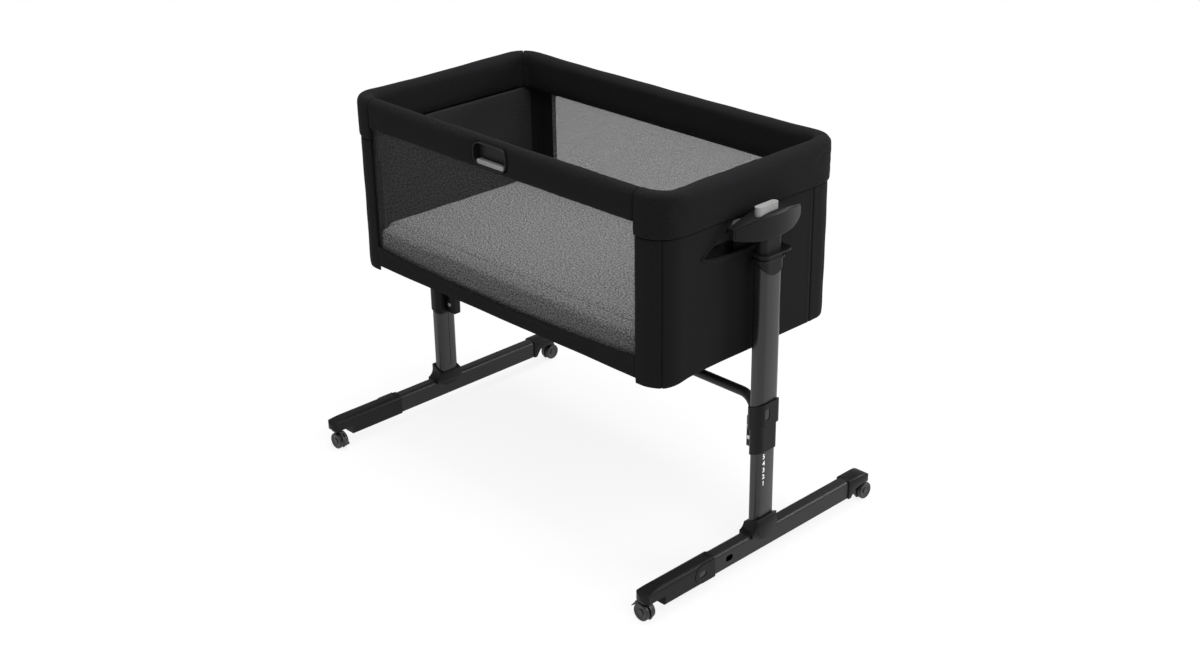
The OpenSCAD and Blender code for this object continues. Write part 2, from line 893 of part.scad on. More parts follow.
// Brake pedal: a curved fork behind the wheels, with a tab and a pin through the frame's lug
module brake_pedal(side) {
    slot_y = pedal_ear_t / 2 + pedal_gap;
    half = slot_y + pedal_cheek_t;
    tip_angle = 12;
    color("#1b1c1e") at_caster(side, -1) {
        difference() {
            along_y(-half, half) {
                translate([-pedal_pin_x, pedal_pin_z]) circle(pedal_ear_r - pedal_gap);
                polygon(concat(
                    arc([-trail, wheel_r], pedal_out_r, pedal_from - tip_angle / 2, pedal_to - tip_angle, 8),
                    [[-pedal_tip, pedal_tip_z + pedal_tip_t], [-pedal_tip, pedal_tip_z]],
                    arc([-trail, wheel_r], pedal_in_r, pedal_to, pedal_from - tip_angle / 2, 8)));
            }
            translate([-pedal_slot_x, -slot_y, 0]) cube([reach, 2 * slot_y, reach]);
        }
        pedal_pin(pedal_pin_r);
    }
}

// Outline of a rim pad across its tube, u outwards
function pad_outline() = let (h = rim_t / 2, top = rim_top - h, side_u = h - rim_bulge)
    concat(arc([0, top], h, 0, 180, 12),
        [[-h, pad_in_seam + h / 2], [-h + pad_foot, pad_in_seam], [-pad_slot / 2, pad_in_seam],
        [-pad_slot / 2, rim_seam], [side_u - pad_foot, rim_seam], [side_u, rim_seam + pad_foot],
        [h - pad_foot, rim_seam + h], [h, rim_seam + rim_t]]);

module pad_section() {
    difference() {
        polygon(pad_outline());
        translate([0, frame_z]) circle(frame_r + fit);
        translate([-pad_slot / 2, 0]) square([pad_slot, frame_z]);
    }
}

module frame_section() {
    translate([0, frame_z]) difference() {
        circle(frame_r);
        circle(frame_r - frame_wall);
    }
}

// Straight and corner runs along the basket's rim; children are the section
module rim_end_run() {
    translate([path_x, 0, 0]) along_y(-path_y + path_r, path_y - path_r) children();
}

module rim_corner(front, a, b) {
    y = (front ? -1 : 1) * (path_y - path_r);
    translate([path_x - path_r, y, 0]) rotate([0, 0, (front ? -90 : 0) + a])
        rotate_extrude(angle = b - a) translate([path_r, 0]) children();
}

// Back corner that starts where the back run ends
module rim_back_corner(turn) {
    translate([path_x - path_r, path_y - path_r, 0]) rotate([0, 0, 90]) mirror([0, 1, 0])
        rotate_extrude(angle = turn) translate([path_r, 0]) children();
}

module rim_back_run() {
    translate([0, path_y, 0]) rotate([0, 0, 90])
        along_y(-path_x + path_r, path_x - path_r) children();
}

module rim_front_run() {
    translate([0, -path_y, 0]) rotate([0, 0, -90]) translate([0, side_half, 0])
        along_y(0, path_x - path_r - side_half) children();
}

module rim_pad_left() {
    color("#111214") on(left) {
        rim_front_run() pad_section();
        rim_corner(true, 0, 90) pad_section();
        rim_end_run() pad_section();
        rim_corner(false, 0, seam_angle_left) pad_section();
    }
}

module rim_pad_right() {
    color("#111214") {
        rim_front_run() pad_section();
        rim_corner(true, 0, 90) pad_section();
        rim_end_run() pad_section();
        rim_corner(false, 0, 90) pad_section();
    }
}

module rim_pad_back() {
    color("#111214") on(left) {
        rim_back_corner(90 - seam_angle_left) pad_section();
        rim_back_run() pad_section();
    }
}

// Top frame tube inside the rim pads, with a flat leg down to each guide post
module top_frame() {
    color("#77797c") {
        for (side = [left, right]) on(side) {
            rim_front_run() frame_section();
            rim_corner(true, 0, 90) frame_section();
            rim_end_run() frame_section();
            rim_corner(false, 0, 90) frame_section();
            translate([guide_x + guide_t, -path_y - leg_flat_t / 2, rim_seam])
                cube([leg_flat_w, leg_flat_t, frame_z - frame_r - rim_seam + frame_wall]);
        }
        rim_back_run() frame_section();
    }
}

// Plan of the basket's wall shell, as a ring of the wall's thickness
module wall_ring() {
    difference() {
        rrect(basket_len, basket_wid, corner_r);
        rrect(basket_len - 2 * wall_t, basket_wid - 2 * wall_t, corner_r - wall_t);
    }
}

// The quarter of the plan past a line at 45 degrees through a front corner's centre
module front_corner_sector() {
    cx = wall_x - corner_r;
    cy = -wall_y + corner_r;
    polygon([[side_half, cy], [cx, cy], [cx + corner_r, cy - corner_r], [cx + corner_r, -reach],
        [side_half, -reach]]);
}

module end_wall(side) {
    color("#131416") on(side) difference() {
        translate([0, 0, wall_bottom]) linear_extrude(rim_seam - seat - wall_bottom) difference() {
            wall_ring();
            translate([-reach, -reach]) square([reach + wall_x - corner_r, 2 * reach]);
            front_corner_sector();
        }
        along_x(wall_x - corner_r / 2, reach) slot_outline();
    }
}

// Smiling slot through which the glide rail's web reaches the head
module slot_outline() {
    intersection() {
        translate([0, slot_high - slot_dome_r]) circle(slot_dome_r, $fn = 96);
        translate([0, slot_low + slot_lip_r]) circle(slot_lip_r, $fn = 96);
        translate([-slot_half, 0]) square([2 * slot_half, rim_seam - seat - overrun]);
    }
}

module front_corner(side) {
    color("#131416") on(side) translate([0, 0, wall_bottom - corner_drop])
        linear_extrude(rim_seam - seat - wall_bottom + corner_drop) intersection() {
            wall_ring();
            front_corner_sector();
        }
}

module back_wall() {
    color("#131416") difference() {
        translate([0, 0, wall_bottom]) linear_extrude(rim_seam - seat - wall_bottom) intersection() {
            wall_ring();
            translate([-wall_x + corner_r, 0]) square([2 * (wall_x - corner_r), reach]);
        }
        translate([-window_half, 0, window_low])
            cube([2 * window_half, reach, window_high - window_low]);
    }
}

// A flat net: a sheet with evenly spaced gaps inside a plain edge
module net(w, h) {
    pitch_x = (w - 2 * net_edge) / net_cols;
    pitch_z = (h - 2 * net_edge) / net_rows;
    difference() {
        square([w, h]);
        for (i = [0:net_cols - 1], j = [0:net_rows - 1])
            translate([net_edge + i * pitch_x + net_strand / 2, net_edge + j * pitch_z + net_strand / 2])
                square([pitch_x - net_strand, pitch_z - net_strand]);
    }
}

module back_mesh() {
    color("#4a4b4d") translate([-window_half - net_lap, wall_y - wall_t - seat, window_low - net_lap])
        rotate([90, 0, 0]) linear_extrude(net_t)
            net(2 * (window_half + net_lap), window_high - window_low + net_lap + net_lap / 2);
}

module front_mesh() {
    color("#4a4b4d") translate([-rail_half_x, -wall_y + wall_t + seat + net_t, mesh_low])
        rotate([90, 0, 0]) linear_extrude(net_t) net(2 * rail_half_x, rail_bottom - mesh_low);
}

// Opaque hem under the front mesh, its edge rising towards both ends
module front_hem() {
    hem_r = (side_half * side_half + hem_rise * hem_rise) / (2 * hem_rise);
    color("#131416") along_y(-wall_y, -wall_y + wall_t) difference() {
        translate([-side_half + seat, wall_bottom])
            square([2 * (side_half - seat), hem_mid + hem_rise - wall_bottom]);
        translate([0, hem_mid + hem_r]) circle(hem_r, $fn = 360);
    }
}

module end_linings() {
    color("#2c2d2f") for (side = [left, right]) on(side)
        translate([lining_x, -lining_half, lining_low])
            cube([lining_t, 2 * lining_half, rim_seam - seat - lining_low]);
}

// Hub on the basket: a channel closed at both ends that rides on the glide rail, with its straps
module glide_hubs() {
    lip_low = web_low - overrun;
    lip_high = web_high + overrun;
    bottom = rail_low - hub_gap - hub_edge;
    top = rail_high + hub_gap + hub_edge / 2;
    color("#1a1b1d") for (side = [left, right]) on(side) {
        along_y(-hub_half, hub_half) difference() {
            translate([hub_in, bottom]) square([hub_out - hub_in, top - bottom]);
            translate([rail_out - rail_thick - hub_gap, rail_low - hub_gap])
                square([rail_thick + 2 * hub_gap, rail_high - rail_low + 2 * hub_gap]);
            translate([rail_out, lip_low]) square([reach, lip_high - lip_low]);
        }
        for (s = [-1, 1])
            translate([hub_in, s * (hub_half + hub_cap_t / 2) - hub_cap_t / 2, bottom])
                cube([hub_out - hub_in, hub_cap_t, top - bottom]);
        translate([path_x - strap_t / 2, -strap_half, top])
            cube([strap_t, 2 * strap_half, frame_z - frame_r - seat - top]);
        translate([base_x - strap_t / 2, -strap_half, base_z + base_r + seat])
            cube([strap_t, 2 * strap_half, bottom - base_z - base_r - seat]);
    }
}

// Channels in the front corners that guide the drop side, closed below its lowest place
module guide_posts() {
    low = base_z + base_r + seat;
    slot_start = shoe_low - rail_travel - guide_gap;
    color("#77797c") for (side = [left, right]) on(side) difference() {
        translate([guide_x + guide_w / 2, -guide_y, low]) linear_extrude(rim_seam - low - seat)
            difference() {
                rrect(guide_w, guide_d, guide_r);
                rrect(guide_w - 2 * guide_t, guide_d - 2 * guide_t, guide_r - guide_t);
            }
        translate([guide_x - overrun, -guide_y - guide_slot / 2, slot_start])
            cube([guide_w / 2, guide_slot, reach]);
    }
}

module base_frame() {
    color("#5c5e61") {
        for (side = [left, right]) on(side) {
            translate([base_x, 0, 0]) along_y(-base_y + base_corner, base_y - base_corner) base_section();
            for (f = [-1, 1])
                translate([base_x - base_corner, f * (base_y - base_corner), 0])
                    rotate([0, 0, f > 0 ? 0 : -90]) rotate_extrude(angle = 90)
                        translate([base_corner, 0]) base_section();
            translate([base_cross_x, 0, 0]) along_y(-base_y, base_y)
                translate([0, base_z]) circle(base_r - overrun);
        }
        for (f = [-1, 1]) translate([0, f * base_y, 0])
            along_x(-base_x + base_corner, base_x - base_corner) base_section();
    }
}

module base_section() {
    translate([0, base_z]) circle(base_r);
}

module base_board() {
    color("#6d5a43") translate([0, 0, board_low]) linear_extrude(board_t) {
        translate([-board_x + seat, -board_step_y])
            square([2 * (board_x - seat), board_step_y + base_y + base_r - wall_t / 2]);
        translate([-side_half + overrun, -base_y - base_r])
            square([2 * (side_half - overrun), base_y + base_r]);
    }
}

module bottom_cover() {
    color("#131416") translate([0, 0, wall_bottom]) linear_extrude(cover_t - seat)
        rrect(basket_len - 2 * (wall_t + seat), basket_wid - 2 * (wall_t + seat), corner_r - wall_t);
}

// Mattress: crowned top, drawn-in sides and rounded corners, as rings joined from below to above
module mattress() {
    n = 12;
    rows = 8;
    count = 4 * (n + 1);
    mid_y = mattress_back - mattress_wid / 2;
    side_draw = 4;
    edge_r = 14;
    function ring(inset, z) = let (hx = mattress_len / 2 - inset, hy = mattress_wid / 2 - inset,
            r = max(mattress_r - inset, edge_r / 2))
        [for (q = [0:3], i = [0:n]) let (a = q * 90 + 90 * i / n,
                cx = (q == 0 || q == 3 ? 1 : -1) * (hx - r), cy = (q < 2 ? 1 : -1) * (hy - r))
            [cx + r * cos(a), cy + r * sin(a) + mid_y, z]];
    low_rings = [for (i = [0:3]) let (a = i * 30) ring(edge_r * (1 - sin(a)) * 0.7,
        mattress_low + edge_r * 0.7 * (1 - cos(a)))];
    side_rings = [ring(side_draw, mattress_low + mattress_t / 2)];
    high_rings = [for (i = [0:3]) let (a = i * 30) ring(edge_r * (1 - cos(a)),
        mattress_low + mattress_t - edge_r * (1 - sin(a)))];
    crown_rings = [for (s = [0.15, 0.35, 0.6, 0.85]) ring(edge_r + s * (mattress_wid / 2 - edge_r),
        mattress_low + mattress_t + mattress_crown * sin(90 * s))];
    rings = concat(low_rings, side_rings, high_rings, crown_rings);
    m = len(rings);
    points = concat([for (r = rings) each r],
        [[0, mid_y, mattress_low], [0, mid_y, mattress_low + mattress_t + mattress_crown]]);
    faces = concat(
        [for (i = [0:count - 1]) [m * count, i, (i + 1) % count]],
        [for (k = [0:m - 2], i = [0:count - 1]) let (j = (i + 1) % count)
            each [[k * count + i, (k + 1) * count + i, (k + 1) * count + j],
                [k * count + i, (k + 1) * count + j, k * count + j]]],
        [for (i = [0:count - 1]) [m * count + 1, (m - 1) * count + (i + 1) % count, (m - 1) * count + i]]);
    color("#6e6f72") polyhedron(points, faces);
}

module rail_tube() {
    color("#77797c") {
        along_x(-rail_half_x + arm_t, rail_half_x - arm_t) translate([-bar_y, bar_z]) difference() {
            circle(bar_r);
            circle(bar_r - frame_wall);
        }
        for (side = [left, right]) on(side) {
            translate([rail_half_x - arm_t, -guide_y - shoe_d / 2, shoe_low])
                cube([arm_t, shoe_d, bar_z + bar_r - shoe_low]);
            translate([rail_half_x, -guide_y - shoe_neck / 2, shoe_low])
                cube([guide_x + guide_t + overrun - rail_half_x, shoe_neck, shoe_high - shoe_low]);
            translate([guide_x + guide_w / 2, -guide_y, shoe_low])
                linear_extrude(shoe_high - shoe_low) rrect(shoe_w, shoe_d, guide_r - guide_t);
        }
    }
}

// Padded rail of the drop side, rounded at its ends, with the recess for the release
module rail_pad() {
    h = rail_pad_t / 2;
    top = rim_top - h;
    color("#111214") difference() {
        intersection() {
            along_x(-rail_half_x + seat, rail_half_x - seat) translate([-rail_y, 0]) polygon(concat(
                arc([0, top], h, 0, 180, 12),
                arc([-h + rail_low_r, rail_bottom + rail_low_r], rail_low_r, 180, 270, 4),
                arc([h - rail_low_r, rail_bottom + rail_low_r], rail_low_r, 270, 360, 4)));
            along_y(-reach, 0) translate([0, (rail_bottom + rim_top) / 2])
                rrect(2 * (rail_half_x - seat), rim_top - rail_bottom, rail_end_r);
        }
        along_x(-reach, reach) translate([-bar_y, bar_z]) circle(bar_r + fit);
        for (side = [left, right]) on(side)
            translate([rail_half_x - arm_t - seat, -guide_y - shoe_d / 2 - seat, 0])
                cube([reach, shoe_d + 2 * seat, bar_z + bar_r + seat]);
        translate([0, -rail_y - h, 0]) along_y(-reach, recess_deep) recess_outline(0);
    }
}

module recess_outline(inset) {
    translate([0, recess_z])
        rrect(recess_w - 2 * inset, recess_h - 2 * inset, recess_r - inset);
}

// Bezel that lines the recess, open to the front
module release_bezel() {
    h = rail_pad_t / 2;
    color("#2e2f31") translate([0, -rail_y - h, 0]) {
        difference() {
            along_y(-bezel_proud, recess_deep - seat) recess_outline(fit);
            along_y(-reach, recess_deep - seat - bezel_t) recess_outline(bezel_t);
        }
    }
}

module release_lever() {
    h = rail_pad_t / 2;
    low = recess_z - recess_h / 2 + bezel_t + lever_gap;
    color("#a3a4a6") translate([0, -rail_y - h + bezel_proud, low + lever_h / 2])
        along_y(0, lever_deep) rrect(lever_w, lever_h, lever_h / 2 - bezel_proud / 2);
}

upper_tube(left);  // upper_tube_left
upper_tube(right);  // upper_tube_right
sleeve(left);  // sleeve_left
sleeve(right);  // sleeve_right
post_collars();
head(left);  // head_left
head(right);  // head_right
glide_rails();
cross_tube();
cross_tube_rivets();
glide_button(left);  // glide_button_left
glide_button(right);  // glide_button_right
height_button(left);  // height_button_left
height_button(right);  // height_button_right
lower_tube(left);  // lower_tube_left
lower_tube(right);  // lower_tube_right
foot_beam(left);  // foot_beam_left
foot_beam(right);  // foot_beam_right
saddle(left);  // saddle_left
saddle(right);  // saddle_right
rear_cap(left);  // rear_cap_left
rear_cap(right);  // rear_cap_right
front_leg(left);  // front_leg_left
front_leg(right);  // front_leg_right
leg_button(left);  // leg_button_left
leg_button(right);  // leg_button_right
caster_frame(left, -1);  // caster_frame_fl
caster_frame(right, -1);  // caster_frame_fr
caster_frame(left, 1);  // caster_frame_rl
caster_frame(right, 1);  // caster_frame_rr
caster_wheels(left, -1);  // caster_wheels_fl
caster_wheels(right, -1);  // caster_wheels_fr
caster_wheels(left, 1);  // caster_wheels_rl
caster_wheels(right, 1);  // caster_wheels_rr
brake_pedal(left);  // brake_pedal_fl
brake_pedal(right);  // brake_pedal_fr
rim_pad_left();
rim_pad_back();
rim_pad_right();
top_frame();
end_wall(left);  // end_wall_left
end_wall(right);  // end_wall_right
back_wall();
back_mesh();
front_corner(left);  // front_corner_left
front_corner(right);  // front_corner_right
front_hem();
end_linings();
glide_hubs();
guide_posts();
base_frame();
base_board();
bottom_cover();
mattress();
rail_tube();
rail_pad();
release_bezel();
release_lever();
front_mesh();
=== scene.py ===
"""Bedside sleeper crib: fabric, foam, nets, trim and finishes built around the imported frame."""
import json
import math

import bpy
import numpy as np
from bpy.props import FloatProperty, FloatVectorProperty, IntProperty, PointerProperty
from mathutils import Matrix, Vector


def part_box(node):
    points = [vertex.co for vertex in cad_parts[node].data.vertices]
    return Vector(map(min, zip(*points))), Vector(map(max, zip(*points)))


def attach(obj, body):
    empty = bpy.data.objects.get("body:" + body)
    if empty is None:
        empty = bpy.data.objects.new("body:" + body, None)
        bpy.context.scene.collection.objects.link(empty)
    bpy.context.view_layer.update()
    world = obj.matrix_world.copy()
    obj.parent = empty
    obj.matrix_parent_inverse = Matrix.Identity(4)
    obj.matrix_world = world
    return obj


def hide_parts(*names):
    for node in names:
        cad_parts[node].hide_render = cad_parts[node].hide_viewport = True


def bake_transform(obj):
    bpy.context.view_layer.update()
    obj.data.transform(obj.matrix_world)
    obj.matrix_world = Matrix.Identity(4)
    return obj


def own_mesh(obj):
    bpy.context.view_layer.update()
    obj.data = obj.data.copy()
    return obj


bl_info = {
    "name": "Bedside Sleeper Crib",
    "version": (1, 0, 0),
    "blender": (4, 5, 0),
    "location": "View3D > Sidebar > Crib",
    "description": "Builds the crib's fabric, foam, nets, trim and finishes around the packed frame",
    "category": "Add Mesh",
}

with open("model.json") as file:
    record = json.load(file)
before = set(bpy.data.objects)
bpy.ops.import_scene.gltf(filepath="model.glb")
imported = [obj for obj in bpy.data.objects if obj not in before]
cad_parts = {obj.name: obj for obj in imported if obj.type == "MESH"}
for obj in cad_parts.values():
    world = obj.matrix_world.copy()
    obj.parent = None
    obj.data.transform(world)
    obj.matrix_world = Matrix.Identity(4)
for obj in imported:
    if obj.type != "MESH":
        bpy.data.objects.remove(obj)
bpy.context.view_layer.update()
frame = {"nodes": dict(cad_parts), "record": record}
NODES = frame["nodes"]
SLOTS = {s["node"]: s["material_slot"] for s in frame["record"]["subparts"]}

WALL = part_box("end_wall_right")
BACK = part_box("back_wall")
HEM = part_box("front_hem")
FRONT_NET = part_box("front_mesh")
BACK_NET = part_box("back_mesh")
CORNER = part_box("front_corner_right")
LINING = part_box("end_linings")
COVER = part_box("bottom_cover")
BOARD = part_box("base_board")
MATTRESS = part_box("mattress")
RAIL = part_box("rail_pad")
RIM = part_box("rim_pad_right")
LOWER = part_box("lower_tube_right")
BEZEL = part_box("release_bezel")


def mm(v):
    return v * 0.001


# The end wall's slot, across and up, in millimetres: a long low lip with its tip towards the front
SLOT_SHAPE = ((-47, 700), (-60, 688), (-78, 675), (-108, 656), (-131, 641), (-129, 637), (-112, 633), (-86, 630.5),
              (-50, 629), (0, 630), (46, 633), (74, 638), (84, 645), (78, 662), (64, 682), (50, 700))
WINDOW_CORNER = mm(14)


# ---------------------------------------------------------------- sizes and colours

class CribSizes(bpy.types.PropertyGroup):
    """Sizes of the sewn parts"""
    corner_radius: FloatProperty(name="Corner radius", description="Outer corner radius of the walls",
                                 default=mm(53.5), unit="LENGTH")
    fabric: FloatProperty(name="Fabric thickness", description="Thickness of the padded wall fabric",
                          default=mm(3.2), unit="LENGTH")
    window_half: FloatProperty(name="Window half length", description="Half length of the back window",
                               default=mm(338), unit="LENGTH")
    window_low: FloatProperty(name="Window low", description="Lower edge of the back window",
                              default=mm(499), unit="LENGTH")
    window_high: FloatProperty(name="Window high", description="Upper edge of the back window",
                               default=mm(691), unit="LENGTH")
    hem_mid: FloatProperty(name="Hem middle", description="Height of the front hem's edge at its middle",
                           default=mm(454), unit="LENGTH")
    hem_rise: FloatProperty(name="Hem rise", description="Rise of the hem's edge towards its ends",
                            default=mm(14), unit="LENGTH")
    seam_back: FloatProperty(name="End seam", description="Distance of the end wall's upright seam from the middle",
                             default=mm(161), unit="LENGTH")
    stitch: FloatProperty(name="Stitch pitch", description="Distance from one stitch to the next",
                          default=mm(3.6), unit="LENGTH")
    pad_half: FloatProperty(name="Rim half width", description="Half the width of the padded rim",
                            default=mm(17.5), unit="LENGTH")
    pad_turn: FloatProperty(name="Rim corner", description="Radius of the rim's middle line at the corners",
                            default=mm(39), unit="LENGTH")
    rim_inner_low: FloatProperty(name="Rim inner edge", description="Lower edge of the rim inside the crib",
                                 default=mm(701), unit="LENGTH")
    rail_end: FloatProperty(name="Rail end", description="Where the drop side's rail meets the rim",
                            default=mm(366), unit="LENGTH")
    pressure: FloatProperty(name="Foam pressure", description="Pressure that swells the padded pieces",
                            default=4.0)
    frames: IntProperty(name="Cloth frames", description="Frames that the cloth settles for", default=20)


class CribColours(bpy.types.PropertyGroup):
    """Colours of the crib's finishes"""
    fabric: FloatVectorProperty(name="Fabric", description="Black fabric of rim and walls",
                                subtype="COLOR", default=(0.0065, 0.0065, 0.0072), min=0, max=1)
    net: FloatVectorProperty(name="Net", description="Thread of the nets",
                             subtype="COLOR", default=(0.04, 0.04, 0.041), min=0, max=1)
    window: FloatVectorProperty(name="Window net", description="Thread of the back window's net",
                                subtype="COLOR", default=(0.125, 0.125, 0.125), min=0, max=1)
    lining: FloatVectorProperty(name="Lining", description="Knit on the inner ends",
                                subtype="COLOR", default=(0.02, 0.02, 0.021), min=0, max=1)
    melange: FloatVectorProperty(name="Melange", description="Mattress cover",
                                 subtype="COLOR", default=(0.22, 0.22, 0.222), min=0, max=1)
    tube: FloatVectorProperty(name="Tube", description="Powder coat on tubes and beams",
                              subtype="COLOR", default=(0.0085, 0.0085, 0.009), min=0, max=1)
    plastic: FloatVectorProperty(name="Plastic", description="Moulded housings",
                                 subtype="COLOR", default=(0.0065, 0.0065, 0.007), min=0, max=1)
    caster: FloatVectorProperty(name="Caster", description="Casters and wheels",
                                subtype="COLOR", default=(0.009, 0.009, 0.01), min=0, max=1)
    button: FloatVectorProperty(name="Buttons", description="Light buttons and the release lever",
                                subtype="COLOR", default=(0.2, 0.2, 0.198), min=0, max=1)
    steel: FloatVectorProperty(name="Steel", description="Bare steel",
                               subtype="COLOR", default=(0.55, 0.55, 0.56), min=0, max=1)
    board: FloatVectorProperty(name="Board", description="Base board",
                               subtype="COLOR", default=(0.05, 0.045, 0.04), min=0, max=1)


class CribView(bpy.types.PropertyGroup):
    """The camera, fitted to the crib's straight edges"""
    lens: FloatProperty(name="Lens", description="Focal length in millimetres on a 36 mm sensor",
                        default=51.586)
    azimuth: FloatProperty(name="Azimuth", description="Angle round the crib from its front",
                           default=math.radians(46.318), subtype="ANGLE")
    elevation: FloatProperty(name="Elevation", description="Angle above the floor",
                             default=math.radians(24.713), subtype="ANGLE")
    roll: FloatProperty(name="Roll", description="Roll of the picture", default=math.radians(-0.855),
                        subtype="ANGLE")
    distance: FloatProperty(name="Distance", description="Distance from the target",
                            default=3.53507, unit="LENGTH")
    target: FloatVectorProperty(name="Target", description="Point that the camera looks at",
                                default=(-0.037904, 0.069442, 0.287941), subtype="XYZ")


# ---------------------------------------------------------------- node groups and finishes

def set_values(thing, values):
    for key, value in values.items():
        setattr(thing, key, value)


def feed(node, inputs):
    """Fills a node's inputs, by name or number, each with a value or with a link from a socket"""
    for key, value in inputs.items():
        if isinstance(value, bpy.types.NodeSocket):
            node.id_data.links.new(value, node.inputs[key])
        else:
            node.inputs[key].default_value = value


def add_node(tree, kind, inputs=None, **values):
    node = tree.nodes.new(kind)
    set_values(node, values)
    feed(node, inputs or {})
    return node


def maths(tree, op, *terms):
    return add_node(tree, "ShaderNodeMath", dict(enumerate(terms)), operation=op).outputs[0]


def noise(tree, vector, scale, detail=2):
    return add_node(tree, "ShaderNodeTexNoise", {"Vector": vector, "Scale": scale, "Detail": detail}).outputs[0]


def bump(tree, height, distance, strength, **more):
    inputs = {"Height": height, "Distance": distance, "Strength": strength, **more}
    return add_node(tree, "ShaderNodeBump", inputs).outputs[0]


def cloth_coords(tree):
    """The cloth's own coordinates in metres, stored by mark_cloth"""
    return add_node(tree, "ShaderNodeAttribute", attribute_name="cloth").outputs["Vector"]


def object_coords(tree):
    return add_node(tree, "ShaderNodeTexCoord").outputs["Object"]


def axes(tree, vector):
    return add_node(tree, "ShaderNodeSeparateXYZ", {0: vector}).outputs[:]


def new_group(name, inputs, outputs):
    """A node group, its input sockets by name and its output node. A socket named Normal is a vector."""
    tree = bpy.data.node_groups.new(name, "ShaderNodeTree")
    for way, keys in (("INPUT", inputs), ("OUTPUT", outputs)):
        for key in keys:
            kind = "NodeSocketVector" if key == "Normal" else "NodeSocketFloat"
            socket = tree.interface.new_socket(key, in_out=way, socket_type=kind)
            if way == "INPUT" and key != "Normal":
                socket.default_value = inputs[key]
    return tree, add_node(tree, "NodeGroupInput").outputs, add_node(tree, "NodeGroupOutput")


def weave_group():
    """Plain weave: raised crossings on the cloth's own coordinates, with uneven threads"""
    t, i, o = new_group("cloth_weave", {"Pitch": 0.0012, "Depth": 0.3, "Slub": 420.0}, ("Tone", "Normal"))
    cloth = cloth_coords(t)
    turn = maths(t, "DIVIDE", 2 * math.pi, i["Pitch"])
    warp, weft = (maths(t, "SINE", maths(t, "MULTIPLY", axis, turn)) for axis in axes(t, cloth)[:2])
    plain = maths(t, "MULTIPLY", warp, weft)
    slub = noise(t, cloth, i["Slub"], 3)
    height, tone = (maths(t, "ADD", maths(t, "MULTIPLY", plain, share), slub) for share in (0.35, 0.07))
    feed(o, {"Tone": tone, "Normal": bump(t, height, mm(0.6), i["Depth"])})


def net_group():
    """Knitted net: a mask of round holes on a sixty-degree grid"""
    t, i, o = new_group("net_holes", {"Pitch": 0.0026, "Open": 0.9}, ("Thread", "Normal"))
    across, up, _ = axes(t, cloth_coords(t))
    turn = maths(t, "DIVIDE", 2 * math.pi, i["Pitch"])
    total = 0.0
    for angle in (0, 60, 120):
        a = math.radians(angle)
        run = maths(t, "ADD", maths(t, "MULTIPLY", across, math.cos(a)), maths(t, "MULTIPLY", up, math.sin(a)))
        total = maths(t, "ADD", total, maths(t, "COSINE", maths(t, "MULTIPLY", run, turn)))
    feed(o, {"Thread": maths(t, "LESS_THAN", total, i["Open"]), "Normal": bump(t, total, mm(0.4), 0.4)})


def grain_group():
    """Fine moulded or sprayed grain with broad cloudiness"""
    t, i, o = new_group("surface_grain", {"Scale": 900.0, "Depth": 0.15}, ("Cloud", "Normal"))
    place = object_coords(t)
    fine = noise(t, place, i["Scale"])
    feed(o, {"Cloud": noise(t, place, 14, 4), "Normal": bump(t, fine, mm(0.4), i["Depth"])})


def wear_and_highlight_group():
    """Mask of the edges from the surface's own curvature, which the finishes lighten: partly rubbed wear and partly
    a painted highlight along the edges
    """
    t, i, o = new_group("edge_wear_and_highlight", {"Reach": 0.0012}, ("Mask",))
    bevel = add_node(t, "ShaderNodeBevel", {"Radius": i["Reach"]}, samples=4)
    normal = add_node(t, "ShaderNodeNewGeometry").outputs["Normal"]
    dot = add_node(t, "ShaderNodeVectorMath", {0: bevel.outputs[0], 1: normal}, operation="DOT_PRODUCT")
    away = maths(t, "MULTIPLY", maths(t, "SUBTRACT", 1.0, dot.outputs["Value"]), 5.0)
    patchy = maths(t, "MULTIPLY", away, noise(t, object_coords(t), 160))
    feed(o, {"Mask": maths(t, "MINIMUM", patchy, 1.0)})


def crown_group():
    """The slight bulge across a post's flat faces, which draws the light out into a band"""
    t, i, o = new_group("face_crown", {"Bulge": 5.0, "Normal": None}, ("Normal",))
    across = axes(t, object_coords(t))[1]
    drop = maths(t, "MULTIPLY", maths(t, "MULTIPLY", maths(t, "POWER", across, 2), i["Bulge"]), -1)
    feed(o, {"Normal": bump(t, drop, 1, 1, Normal=i["Normal"])})


def start_material(name):
    mat = bpy.data.materials.new("finish_" + name)
    mat.use_nodes = True
    return mat.node_tree, mat.node_tree.nodes["Principled BSDF"]


def use_group(tree, name, **inputs):
    return add_node(tree, "ShaderNodeGroup", inputs, node_tree=bpy.data.node_groups[name]).outputs


def lighter(colour, k):
    return tuple(min(1.0, v * k) for v in colour)


def shades(tree, factor, colour, low, high, start, end):
    """A colour that goes from one multiple of itself to another while the factor goes from start to end"""
    ramp = add_node(tree, "ShaderNodeValToRGB", {0: factor})
    for i, (at, k) in enumerate(((start, low), (end, high))):
        ramp.color_ramp.elements[i].position = at
        ramp.color_ramp.elements[i].color = (*lighter(colour, k), 1)
    return ramp.outputs[0]


def woven(name, colour, pitch, depth, contrast, rough, sheen, spec, slub=420.0, span=(0.36, 0.7)):
    t, bsdf = start_material(name)
    weave = use_group(t, "cloth_weave", Pitch=pitch, Depth=depth, Slub=slub)
    feed(bsdf, {"Base Color": shades(t, weave["Tone"], colour, 1 - contrast, 1 + contrast, *span),
                "Normal": weave["Normal"], "Roughness": rough, "Sheen Weight": sheen, "Sheen Roughness": 0.5,
                "Specular IOR Level": spec})


def netting(name, colour, pitch, opening):
    t, bsdf = start_material(name)
    net = use_group(t, "net_holes", Pitch=pitch, Open=opening)
    speckle = noise(t, cloth_coords(t), 270)
    feed(bsdf, {"Base Color": shades(t, speckle, colour, 0.42, 1.6, 0.42, 0.58), "Alpha": net["Thread"],
                "Normal": net["Normal"], "Roughness": 0.8, "Specular IOR Level": 0.15})


